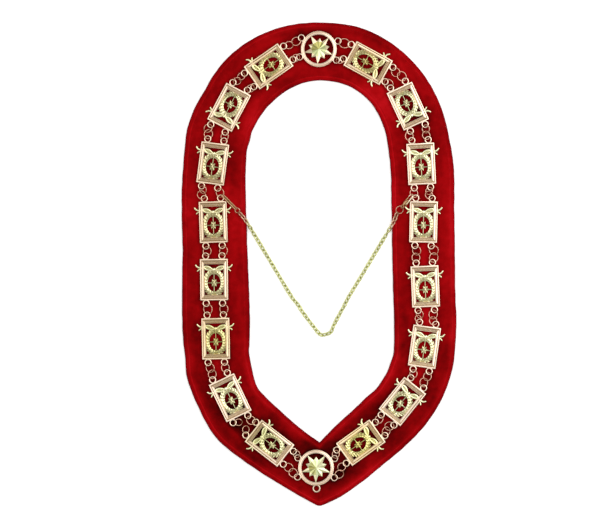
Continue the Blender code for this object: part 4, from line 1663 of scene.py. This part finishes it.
    def add_bow(self, shape: Shape) -> None:
        """Adds the bow: two loops, a knot, and a forked tail out past each side of the frame.

        Args:
            shape: What it is added to.
        """
        for side in (-1, 1):
            edge = smooth_route([(side * x, y, z) for x, y, z in self.bow_loop], 4)
            widths = [0.8 + 0.55 * math.sin(math.pi * i / (len(edge) - 1)) for i in range(len(edge))]
            shape.tube(edge, widths, False, sides=8, flat=0.75)
            shape.dome([Vector((side * x, y, 1.0)) for x, y in self.bow_fill][::side], 0.7, 3)
            for route, start, end in ((self.upper_tip, 1.5, 0.75), (self.lower_tip, 1.2, 0.7)):
                self.add_tip(shape, [(side * x, y, z) for x, y, z in route], start, end)
        shape.dome(oval((0.0, 10.5, 1.4), (2.0, 2.3), 14), 1.7, 4)
        shape.tube([Vector((0, 8.4, 1.6)), Vector((0, 7.4, 1.7))], [1.6, 1.2], False)

    @staticmethod
    def add_tip(shape: Shape, route: Sequence[Sequence[float]], start: float, end: float) -> None:
        """Adds one tip of a tail, with a round end.

        Args:
            shape: What it is added to.
            route: The points that the tip runs through.
            start: Its half width at the first of them.
            end: Its half width at the last.
        """
        path = smooth_route(route, 4)
        widths = [start + (end - start) * i / (len(path) - 1) for i in range(len(path))]
        shape.tube(path, widths, False, sides=10, flat=0.7)
        x, y, z = path[-1]
        shape.dome(oval((x, y, z - 0.2), (end * 1.15, end * 1.15), 12), end * 0.95, 3)

    def lug_centres(self) -> list[Vector]:
        """The four lugs' centres, in the plaque's own frame."""
        reach = self.half_y + self.lug_beyond
        return [Vector((sx * self.lug_across, sy * reach, LUG_Z)) for sx in (-1, 1) for sy in (-1, 1)]

    def template(self) -> tuple[bpy.types.Mesh, bpy.types.Mesh]:
        """Makes one plaque in its own frame.

        Returns:
            The plaque's frame and its openwork.
        """
        frame = Shape()
        self.add_frame(frame)
        for end in (-1, 1):
            frame.add(self.ribs(end))
        for centre in self.lug_centres():
            self.lugs.add(frame, centre, Vector((0.0, -math.copysign(1.0, centre.y), 0.0)))
        openwork = Shape()
        self.add_wreath(openwork)
        self.add_rosette(openwork)
        self.add_bow(openwork)
        return frame.finish("plaque_frame", 35.0), openwork.finish("plaque_openwork", 50.0)

    def build(self) -> None:
        """Sets a plaque at each of its places."""
        frame, openwork = self.template()
        for link in LINKS:
            if not link.is_medallion:
                link_piece(link, "_frame", frame.copy(), Finish.FRAME, [link.name])
                link_piece(link, "_openwork", openwork.copy(), Finish.MOTIF)


@dataclass
class Medallion:
    """A round medallion: a stepped rim round a ridged star."""

    outer: float = 19.05
    inner: float = 15.15
    lug_reach: float = 21.8
    lug_angles: tuple[float, ...] = (27.5, 152.5, 207.5, 332.5)
    rays: int = 5
    ray_reach: float = 15.8
    short_reach: float = 11.4
    notch_reach: float = 8.2
    shoulder_reach: float = 7.4
    # The star's heights: its underside, its points' edge, its shoulders and its crown.
    levels: tuple[float, float, float, float] = (0.5, 1.5, 2.5, 3.2)
    rim_steps: int = 96
    # The lower medallion's ring for a jewel: its radius, its wire's half width, and its middle.
    jewel_ring: tuple[float, float] = (3.5, 0.9)
    jewel_place: tuple[float, float, float] = (0.9, -21.8, 1.6)
    # Each star's painted light: the direction of its body's olive side, painted as shade, in degrees from +X,
    # and how much paler its body is painted, as light.
    stars: tuple[tuple[str, float, float], ...] = (
        ("medallion_top", 125.0, 0.0),
        ("medallion_bottom", 185.0, 0.14),
    )
    lugs: Lugs = field(default_factory=Lugs)
    # The rim's section, from its outer side: the share of its width, and the height.
    bar: tuple[tuple[float, float], ...] = (
        (0.0, 0.0),
        (0.0, 2.3),
        (0.05, 2.8),
        (0.13, 3.1),
        (0.24, 3.15),
        (0.29, 3.0),
        (0.33, 2.75),
        (0.38, 2.95),
        (0.45, 3.15),
        (0.72, 3.15),
        (0.78, 2.95),
        (0.82, 2.7),
        (0.87, 2.8),
        (0.93, 2.75),
        (1.0, 2.3),
        (1.0, 0.0),
    )

    def rim(self) -> Shape:
        """Makes the rim, turned round the middle.

        Returns:
            The rim, for its lugs to be added.
        """
        shape = Shape()
        width = self.inner - self.outer
        profile = [Vector((self.outer + width * across, 0, up)) for across, up in self.bar]
        shape.turn(profile, self.rim_steps)
        return shape

    def lug_centres(self) -> list[Vector]:
        """The four lugs' centres, in the medallion's own frame."""
        return [
            Vector((self.lug_reach * math.cos(a), self.lug_reach * math.sin(a), LUG_Z))
            for a in map(math.radians, self.lug_angles)
        ]

    def star(self, shaded_side_towards: float, paleness: float) -> bpy.types.Mesh:
        """The star: a low faceted body, and a ridged point on each of its sides.

        Args:
            shaded_side_towards: The direction of the body's olive side, painted as shade, in degrees from +X.
            paleness: How much paler the body is painted, as light, than one with an olive half.

        Returns:
            The star, with a painted tone of light and shade for each facet.
        """
        shape = Shape()
        bm = shape.bm
        layer = bm.faces.layers.float.new("tone")
        olive = math.radians(shaded_side_towards)

        def add_facet(tone: float, *corners: bmesh.types.BMVert) -> None:
            """Adds a facet of this tone."""
            bm.faces.new(corners)[layer] = tone

        low, edge, shoulder, crown_height = self.levels
        points = 2 * self.rays
        tips, notches, shoulders = [], [], []
        for i in range(points):
            angle = math.pi * (2 * i / points - 0.5)
            reach = self.short_reach if i % 2 else self.ray_reach
            turn = Matrix.Rotation(angle, 4, "Z")
            half_on = Matrix.Rotation(angle + math.pi / points, 4, "Z")
            tips.append([bm.verts.new(turn @ Vector((reach, 0, z))) for z in (low, edge)])
            notches.append([bm.verts.new(half_on @ Vector((self.notch_reach, 0, z))) for z in (low, edge)])
            shoulders.append(bm.verts.new(turn @ Vector((self.shoulder_reach, 0, shoulder))))
        crown = bm.verts.new((0.0, 0.0, crown_height))
        for i in range(points):
            j = (i + 1) % points
            for here, there in ((tips[i], notches[i]), (notches[i], tips[j])):
                add_facet(0.5, here[0], there[0], there[1], here[1])
            # Each point's two upper facets are painted one lighter than the other, as light from one side.
            add_facet(0.96 - paleness * 0.6, shoulders[i], notches[i - 1][1], tips[i][1])
            add_facet(0.88 - paleness * 0.6, shoulders[i], tips[i][1], notches[i][1])
            # The body's facets are painted darker, as shade, towards its olive side.
            middle = math.pi * ((2 * i + 1) / points - 0.5)
            tone = 0.42 + paleness - 0.26 * math.cos(middle - olive) + 0.07 * math.sin(2.6 * i)
            add_facet(tone, crown, shoulders[i], notches[i][1])
            add_facet(tone, crown, notches[i][1], shoulders[j])
        bm.faces.new([corner for tip, notch in zip(tips, notches) for corner in (tip[0], notch[0])][::-1])
        return shape.finish("star", 1.0)

    def build(self) -> None:
        """Sets a medallion at each of its places. The lower one has a ring for a jewel."""
        for name, shaded_side_towards, paleness in self.stars:
            link = next(link for link in LINKS if link.name == name)
            rim = self.rim()
            for centre in self.lug_centres():
                self.lugs.add(rim, centre, -Vector((centre.x, centre.y, 0.0)).normalized())
            if name == "medallion_bottom":
                rim.ring(*self.jewel_ring, Matrix.Translation(self.jewel_place), 40)
            link_piece(link, "_rim", rim.finish(name + "_rim"), Finish.RIM, [name])
            link_piece(link, "_star", self.star(shaded_side_towards, paleness), Finish.STAR)


@dataclass
class RingRows:
    """The wire rings between the links, each through a lug and its neighbour ring."""

    plaque: Plaque
    medallion: Medallion
    wire: float = 0.45
    joint: float = 1.1  # degrees from the wire's joint to each of its ends
    steepest: float = 30.0
    drop: float = LUG_Z - 0.36  # how far below the lugs' plane a ring may reach
    # The least and the most that a ring hangs slack in its lug.
    taut: float = 0.2
    slack: float = 1.8
    # The pile's shade near the metal: how far off the metal counts; how far past a link it is
    # full and fades; and how deep it is beside a row of rings, and the same two distances.
    search: float = 30.0
    link_shade: tuple[float, float] = (1.5, 4.5)
    row_shade: tuple[float, float, float] = (0.85, 3.5, 4.0)

    def lugs_of(self, link: Link) -> list[Vector]:
        """The centres of a link's lugs, in the collar's frame."""
        own = self.medallion.lug_centres() if link.is_medallion else self.plaque.lug_centres()
        return [link.place @ lug for lug in own]

    def facing(self, link: Link, other: Link) -> list[Vector]:
        """Finds the lugs of one link that face another.

        Args:
            link: The link.
            other: The other one.

        Returns:
            The centres of the nearest two lugs, the outer one first.
        """
        towards = Vector((other.x, other.y, LUG_PLANE))
        nearest = sorted(self.lugs_of(link), key=lambda lug: (lug - towards).length)[:2]
        outwards = Vector((link.x + other.x, link.y + other.y, 0.0)).normalized()
        return sorted(nearest, key=lambda lug: -lug.dot(outwards))

    def tilt(self, radius: float, aside: float = 0.0) -> float:
        """How steeply a ring lies to pass over one side of a lug and under the other."""
        reach = radius + self.wire - abs(aside)
        return min(math.radians(self.steepest), math.asin(self.drop / reach))

    def places(self, rings: Sequence[Ring], start: Vector, end: Vector) -> list[tuple[Vector, Vector, float]]:
        """Where a row's rings lie.

        Args:
            rings: The row's rings.
            start: The centre of the lug that the row starts from.
            end: The centre of the lug that it ends at.

        Returns:
            For each ring its centre, the line that it tilts about, and its tilt.
        """
        along = (end - start).normalized()
        outwards = Vector((-along.y, along.x, 0.0))
        if outwards.dot(start + end) < 0:
            outwards.negate()
        if len(rings) == 1:
            aside = rings[0].outwards
            tilt = math.copysign(self.tilt(rings[0].radius, aside), -aside)
            lift = Vector((0.0, 0.0, abs(aside) * math.tan(abs(tilt))))
            return [((start + end) / 2 + outwards * aside + lift, along, tilt)]
        slack = ((end - start).length - 1.75 * (rings[0].radius + rings[1].radius)) / 2
        slack = max(self.taut, min(self.slack, slack))
        found = []
        for ring, lug, direction in ((rings[0], start, along), (rings[1], end, -along)):
            reach = ring.radius + slack
            forward = math.sqrt(reach**2 - ring.outwards**2)
            centre = lug + direction * forward + outwards * ring.outwards
            # Both lines point away from their lugs, so equal tilts about them cross.
            found.append((centre, (centre - lug).normalized(), self.tilt(ring.radius)))
        return found

    @cached_property
    def spans(self) -> list[tuple[Vector, Vector]]:
        """Finds the straight line of each row of rings.

        Returns:
            For each row the two lugs that it joins.
        """
        found = []
        for link, following in zip(LINKS, [*LINKS[1:], LINKS[0]]):
            found += zip(self.facing(link, following), self.facing(following, link))
        return found

    @cached_property
    def frames(self) -> list[tuple[Link, Matrix]]:
        """Each link, and the way from the collar's frame to its own."""
        return [(link, link.place.inverted()) for link in LINKS]

    def far_off(self, point: Vector, x: float, y: float) -> bool:
        """Whether a point is too far from a place to be in its shade."""
        return abs(point.x - x) > self.search or abs(point.y - y) > self.search

    def pressed(self, point: Vector) -> float:
        """Finds how much painted shade falls on the pile where the metal lies over it and presses it.

        Args:
            point: A point of the velvet.

        Returns:
            The amount, from 0 to 1.
        """
        most = 0.0
        full, fade = self.link_shade
        for link, to_own in self.frames:
            if self.far_off(point, link.x, link.y):
                continue
            own = to_own @ point
            if link.is_medallion:
                outside = math.hypot(own.x, own.y) - self.medallion.outer
            else:
                outside = max(abs(own.x) - self.plaque.half_x, abs(own.y) - self.plaque.half_y)
            most = max(most, 1 - (outside + full) / fade)
        depth, full, fade = self.row_shade
        for start, end in self.spans:
            if self.far_off(point, start.x, start.y):
                continue
            line = end - start
            share = max(0.0, min(1.0, (point - start).dot(line) / line.length_squared))
            away = (point - start - line * share).xy.length
            most = max(most, depth * (1 - (away - full) / fade))
        return max(0.0, min(1.0, most))

    def add_ring(self, shape: Shape, ring: Ring, centre: Vector, line: Vector, tilt: float) -> None:
        """Adds one wire ring, with the fine joint where its wire closes.

        Args:
            shape: What it is added to.
            ring: The ring.
            centre: Its centre.
            line: The line through its centre that it tilts about.
            tilt: Its tilt.
        """
        place = Matrix.Translation(centre) @ level_turn(line) @ Matrix.Rotation(tilt, 4, "X")
        start, end = 90 + self.joint, 450 - self.joint
        points = arc((0, 0, 0), (ring.radius, ring.radius), start, end, 44)
        shape.tube(points, self.wire, False, place, sides=10)

    def build(self) -> None:
        """Makes each row of rings a piece of its own."""
        for i, (link, gap) in enumerate(zip(LINKS, GAPS)):
            following = LINKS[(i + 1) % len(LINKS)]
            starts = self.facing(link, following)
            ends = self.facing(following, link)
            for row, rings, start, end in zip(("outer", "inner"), gap, starts, ends):
                name = f"rings_{link.name}_{row}"
                places = self.places(rings, start, end)
                if link.name == UNHOOKED and row == "outer":
                    self.row_piece(name, rings[:1], places[:1])
                    self.row_piece(name + "_loose", rings[1:], places[1:])
                else:
                    self.row_piece(name, rings, places)

    def row_piece(
        self, node: str, rings: Sequence[Ring], places: Sequence[tuple[Vector, Vector, float]]
    ) -> None:
        """Makes some rings of a row one piece.

        Args:
            node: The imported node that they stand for.
            rings: The rings.
            places: For each ring its centre, the line that it tilts about, and its tilt.
        """
        shape = Shape()
        for ring, place in zip(rings, places):
            self.add_ring(shape, ring, *place)
        name = node + "_wires"
        piece(name, shape.finish(name, 60.0), Finish.WIRE, [node])


@dataclass
class SafetyChain:
    """The fine chain across the neck, its end rings, and the slim plate that holds it on the left."""

    link_length: float = 7.4
    link_width: float = 5.4
    wire: float = 0.76
    pitch: float = 4.36
    ring_wire: float = 0.45
    left_ring: tuple[float, float, float] = (-86.0, 57.0, 6.4)
    left_radius: float = 2.65
    right_ring: tuple[float, float, float] = (85.0, 57.6, 7.1)
    right_radius: float = 4.1
    # The slim plate: the middles of its two eyes, its end radii, and how far it leans over.
    plate_from: tuple[float, float, float] = (-101.2, 72.6, 8.85)
    plate_to: tuple[float, float, float] = (-87.85, 58.9, 6.5)
    plate_ends: tuple[float, float] = (2.1, 1.8)
    plate_eye: float = 1.3
    plate_half: float = 0.5
    plate_roll: float = 46.0

    def link(self) -> bpy.types.Mesh:
        """Makes one oval link.

        Returns:
            The link, with its length along +X.
        """
        shape = Shape()
        half_x, half_y = self.link_length / 2 - self.wire, self.link_width / 2 - self.wire
        shape.tube(oval((0, 0, 0), (half_x, half_y), 16), self.wire, True, sides=7)
        return shape.finish("link", 60.0)

    def end_ring(self, shape: Shape, centre: Vector, radius: float, towards: Vector, tilt: float) -> None:
        """Adds one of the round rings at the chain's ends.

        Args:
            shape: What it is added to.
            centre: The ring's centre.
            radius: The radius of its wire's centre line.
            towards: Where its neighbour is: the ring tilts about the line to that.
            tilt: Its tilt in degrees.
        """
        place = Matrix.Translation(centre) @ level_turn(towards - centre) @ turned(tilt, "X")
        shape.ring(radius, self.ring_wire, place)

    def build(self, eye: Vector) -> None:
        """Makes the chain with its end rings, and the slim plate.

        Args:
            eye: The middle of the clasp's eye.
        """
        shape = Shape()
        route = smooth_route(CHAIN_ROUTE, 8)
        links = Repeat(self.pitch, roll_start=45, roll_step=90, looseness=9, facing=Facing.FREE)
        shape.add(links.along(route, self.link(), Finish.CHAIN))
        self.end_ring(shape, Vector(self.left_ring), self.left_radius, Vector(self.plate_from), -25)
        self.end_ring(shape, Vector(self.right_ring), self.right_radius, eye, 26)
        piece("fine_chain", shape.finish("fine_chain", 60.0), Finish.CHAIN, ["safety_chain"])
        self.build_plate()

    def plate_place(self) -> tuple[Matrix, float]:
        """Finds how the slim plate lies.

        Returns:
            The plate's own frame, with its length along +X, and half the way between its eyes.
        """
        start, end = Vector(self.plate_from), Vector(self.plate_to)
        along = end - start
        dip = Matrix.Rotation(math.atan2(-along.z, math.hypot(along.x, along.y)), 4, "Y")
        place = Matrix.Translation((start + end) / 2) @ level_turn(along) @ dip
        return place @ turned(-self.plate_roll, "X"), along.length / 2

    def build_plate(self) -> None:
        """The slim plate that hangs the chain from its row of rings: a sunk middle inside a
        raised rim, and a round eye through each end."""
        place, half = self.plate_place()
        wide, narrow = self.plate_ends
        eye = self.plate_eye
        middle, rim = Shape(), Shape()
        for x, reach in ((-half, wide), (half, narrow)):
            wall = (reach - eye) / 2
            rim.ring(eye + wall, wall, place @ Matrix.Translation((x, 0.0, 0.0)), 28, 0.42 / wall)
        near = arc((-half, 0, 0), (eye + 0.25, eye + 0.25), 62, -62, 10)
        far = arc((half, 0, 0), (eye + 0.2, eye + 0.2), 242, 118, 10)
        middle.slab([*near, *far], 0.26, place)
        edge = self.plate_half * 0.76
        outline = [
            *arc((-half, 0, 0), (wide - edge, wide - edge), 90, 270, 14),
            *arc((half, 0, 0), (narrow - edge, narrow - edge), -90, 90, 14),
        ]
        rim.tube(outline, edge, True, place, sides=10, flat=1.1)
        # The dark middle is painted shade and the lighter rim painted light.
        piece("slim_plate", middle.finish("slim_plate", 50.0), Finish.PLATE, ["teardrop_link"])
        piece("slim_plate_rim", rim.finish("slim_plate_rim", 60.0), Finish.PLATE_RIM)


@dataclass
class Clasp:
    """The small lobster clasp: body, hook and eye, and its sprung lever on a pin."""

    eye: tuple[float, float, float] = (87.9, 61.0, 7.2)
    turn: float = 50.4 - 90
    pitch: float = 7.5
    roll: float = -50.0
    pivot: tuple[float, float, float] = (-1.1, 4.6, 0.0)
    cheek: float = 1.3
    slot_half: float = 0.72
    lever_half: float = 0.45
    # One cheek's outline in the clasp's own frame.
    outline: tuple[tuple[float, float], ...] = (
        (-0.7, 1.5),
        (0.7, 1.5),
        (2.5, 3.3),
        (3.0, 6.0),
        (2.9, 8.6),
        (2.0, 9.8),
        (0.5, 9.3),
        (-0.6, 8.0),
        (-1.7, 6.8),
        (-2.4, 6.1),
        (-2.6, 3.8),
    )
    # The two blocks that join the cheeks, by the eye and down the side of the hook.
    bridge: tuple[tuple[float, float], ...] = ((-0.8, 1.4), (0.8, 1.4), (2.0, 2.5), (-2.0, 2.5))
    spine: tuple[tuple[float, float], ...] = (
        *((1.35, 2.4), (2.3, 3.0), (2.9, 5.8)),
        *((2.8, 8.4), (2.0, 9.5), (1.35, 9.3)),
    )
    # The hook's route in the clasp's own frame: x, y and half width.
    hook: tuple[tuple[float, float, float], ...] = (
        (2.2, 4.6, 0.9),
        (2.45, 9.0, 0.9),
        (2.45, 12.6, 0.8),
        (2.0, 15.2, 0.7),
        (0.0, 16.7, 0.65),
        (-2.1, 15.2, 0.6),
        (-2.5, 13.6, 0.6),
        (-2.5, 12.2, 0.6),
    )
    # The radii of the lever's hub, inside and out.
    hub: tuple[float, float] = (0.8, 1.45)

    def place(self) -> Matrix:
        """The clasp's own frame, in the collar's."""
        turns = turned(self.turn) @ turned(self.pitch, "X") @ turned(self.roll, "Y")
        return Matrix.Translation(self.eye) @ turns

    def add_cheek(self, shape: Shape, side: int) -> None:
        """Adds one cheek, whose outer face is domed.

        Args:
            shape: What it is added to.
            side: 1 for the upper cheek and -1 for the lower one.
        """
        outline = smooth_route([(x, y, 0.0) for x, y in (*self.outline, self.outline[0])], 4)[:-1]
        middle = sum(outline, Vector()) / len(outline)
        inner, outer = side * self.slot_half, side * self.cheek
        layers = [[Vector((p.x, p.y, inner)) for p in outline]]
        for share, inset in ((0.45, 0.0), (0.72, 0.1), (0.9, 0.32), (1.0, 0.7)):
            height = inner + (outer - inner) * share
            layers.append([Vector((*p.lerp(middle, inset).xy, height)) for p in outline])
        shape.loft(layers, False, self.place())

    def add_pin(self, shape: Shape, side: int) -> None:
        """Adds half the pin, with its small domed head on one cheek.

        Args:
            shape: What it is added to.
            side: 1 for the upper cheek and -1 for the lower one.
        """
        layers = []
        for up, reach in ((0.0, 0.45), (1.2, 0.45), (1.21, 0.75), (1.4, 0.6), (1.5, 0.25)):
            circle = oval(self.pivot, (reach, reach), 16)
            layers.append([Vector((p.x, p.y, side * up)) for p in circle])
        shape.loft(layers, False, self.place())

    def body(self) -> bpy.types.Mesh:
        """Makes the body: its eye, its cheeks, what joins them, and the pin.

        Returns:
            All of it as one mesh.
        """
        shape = Shape()
        shape.ring(1.8, 0.55, self.place(), 28, 0.9)
        for side in (-1, 1):
            self.add_cheek(shape, side)
        for outline in (self.bridge, self.spine):
            shape.slab([Vector((x, y, 0)) for x, y in outline], 0.9, self.place())
        for side in (-1, 1):
            self.add_pin(shape, side)
        return shape.finish("clasp_cheeks", 45.0)

    def bow(self) -> bpy.types.Mesh:
        """Makes the hook that the ring hangs in.

        Returns:
            The hook.
        """
        shape = Shape()
        route = smooth_route([(x, y, 0.0) for x, y, _ in self.hook], 5)
        widths = [value.x for value in smooth_route([(half, 0.0, 0.0) for _, _, half in self.hook], 5)]
        shape.tube(route, widths, False, self.place(), sides=12, flat=0.9)
        return shape.finish("clasp_hook", 45.0)

    def lever(self) -> bpy.types.Mesh:
        """Makes the lever: a hub on the pin, the gate that meets the hook, and a thumb tab.

        Returns:
            All of it as one mesh.
        """
        shape = Shape()
        place = self.place() @ Matrix.Translation(self.pivot)
        (bore, hub), half = self.hub, self.lever_half
        profile = ((bore, -half), (hub, -half), (hub, half), (bore, half))
        shape.turn([Vector((reach, 0, z)) for reach, z in profile], 24, place)
        gate = smooth_route(((-1.25, 0.6, 0), (-1.6, 2.2, 0), (-1.4, 4.6, 0), (-1.4, 7.1, 0)), 4)
        shape.tube(gate, [0.85 - 0.012 * i for i in range(len(gate))], False, place, sides=10, flat=0.5)
        tab = smooth_route(((-1.1, -0.2, 0), (-1.9, -0.7, 0), (-2.6, -1.0, 0)), 4)
        shape.tube(tab, [0.7, 0.65, 0.6, 0.56, 0.56, 0.6, 0.6, 0.55, 0.4], False, place, sides=10, flat=0.6)
        return shape.finish("clasp_trigger", 45.0)

    def build(self) -> None:
        """Makes the body and the lever."""
        # The cheeks and lever take the dark clasp finish as painted shade, and the hook the pale hook finish
        # as a painted highlight.
        piece("clasp_cheeks", self.body(), Finish.CLASP, ["clasp_body"])
        piece("clasp_hook", self.bow(), Finish.HOOK)
        piece("clasp_trigger", self.lever(), Finish.CLASP, ["clasp_lever"], LEVER)


@dataclass
class Studio:
    """A pale table under soft light, seen from straight above."""

    view_width: float = 0.633
    look_at: tuple[float, float] = (-0.0200, 0.0042)
    lens: float = 200.0
    sensor: float = 36.0
    table_side: float = 6.0
    table_drop: float = 0.0003
    ceiling: Colour = (1.0, 1.0, 1.0)
    walls: Colour = (0.31, 0.27, 0.18)

    def build(self) -> None:
        """Makes the table, the lights and the camera."""
        shape = Shape()
        half = self.table_side / 2 / MM
        corners = ((-half, -half), (half, -half), (half, half), (-half, half))
        shape.bm.faces.new([shape.bm.verts.new((x, y, -self.table_drop / MM)) for x, y in corners])
        table = bpy.data.objects.new("table", shape.finish("table"))
        table.data.materials.append(Finish.TABLE.material)
        bpy.context.scene.collection.objects.link(table)
        self.light("key", (1.35, 0.6, 1.6), 2.3, 27.0)
        self.light("fill", (-1.4, 0.2, 1.7), 2.1, 12.0)
        scene = bpy.context.scene
        scene.world = self.sky()
        scene.view_settings.view_transform = "Standard"
        scene.camera = self.camera()

    def sky(self) -> bpy.types.World:
        """Makes the room's light: bright overhead, and dimmer towards the walls.

        Returns:
            The world that gives it.
        """
        world = bpy.data.worlds.new("soft_room")
        shader = Shader(world)
        direction = shader.node("ShaderNodeTexCoord", output="Generated")
        overhead = shader.part_of(direction, "Z").step_from(0.5, 0.88)
        shader.light_up(shader.mix(self.walls, self.ceiling, overhead))
        return world

    @staticmethod
    def light(name: str, spot: tuple[float, float, float], side: float, watts: float) -> None:
        """Adds one square soft light that faces the collar.

        Args:
            name: The light's name.
            spot: Where it is, in metres.
            side: The length of its side.
            watts: Its power.
        """
        data = bpy.data.lights.new(name, "AREA")
        data.size = side
        data.energy = watts
        lamp = bpy.data.objects.new(name, data)
        lamp.location = spot
        lamp.rotation_euler = (-Vector(spot)).to_track_quat("-Z", "Y").to_euler()
        bpy.context.scene.collection.objects.link(lamp)

    def camera(self) -> bpy.types.Object:
        """Makes the camera, straight above the middle of its view.

        Returns:
            The camera.
        """
        data = bpy.data.cameras.new("camera")
        data.lens = self.lens
        data.sensor_width = self.sensor
        camera = bpy.data.objects.new("camera", data)
        x, y = self.look_at
        camera.location = (x, y, self.view_width * self.lens / self.sensor)
        bpy.context.scene.collection.objects.link(camera)
        return camera


def main() -> None:
    """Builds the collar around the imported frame, piece by piece."""
    logging.basicConfig(level=logging.INFO, format="%(message)s")
    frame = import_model()
    log.info("%d packed nodes", len(frame["nodes"]))
    plaque, medallion = Plaque(), Medallion()
    rows = RingRows(plaque, medallion)
    VelvetCollar(rows.pressed).build()
    plaque.build()
    medallion.build()
    rows.build()
    clasp = Clasp()
    clasp.build()
    SafetyChain().build(Vector(clasp.eye))
    Studio().build()


if __name__ == "__main__":
    main()
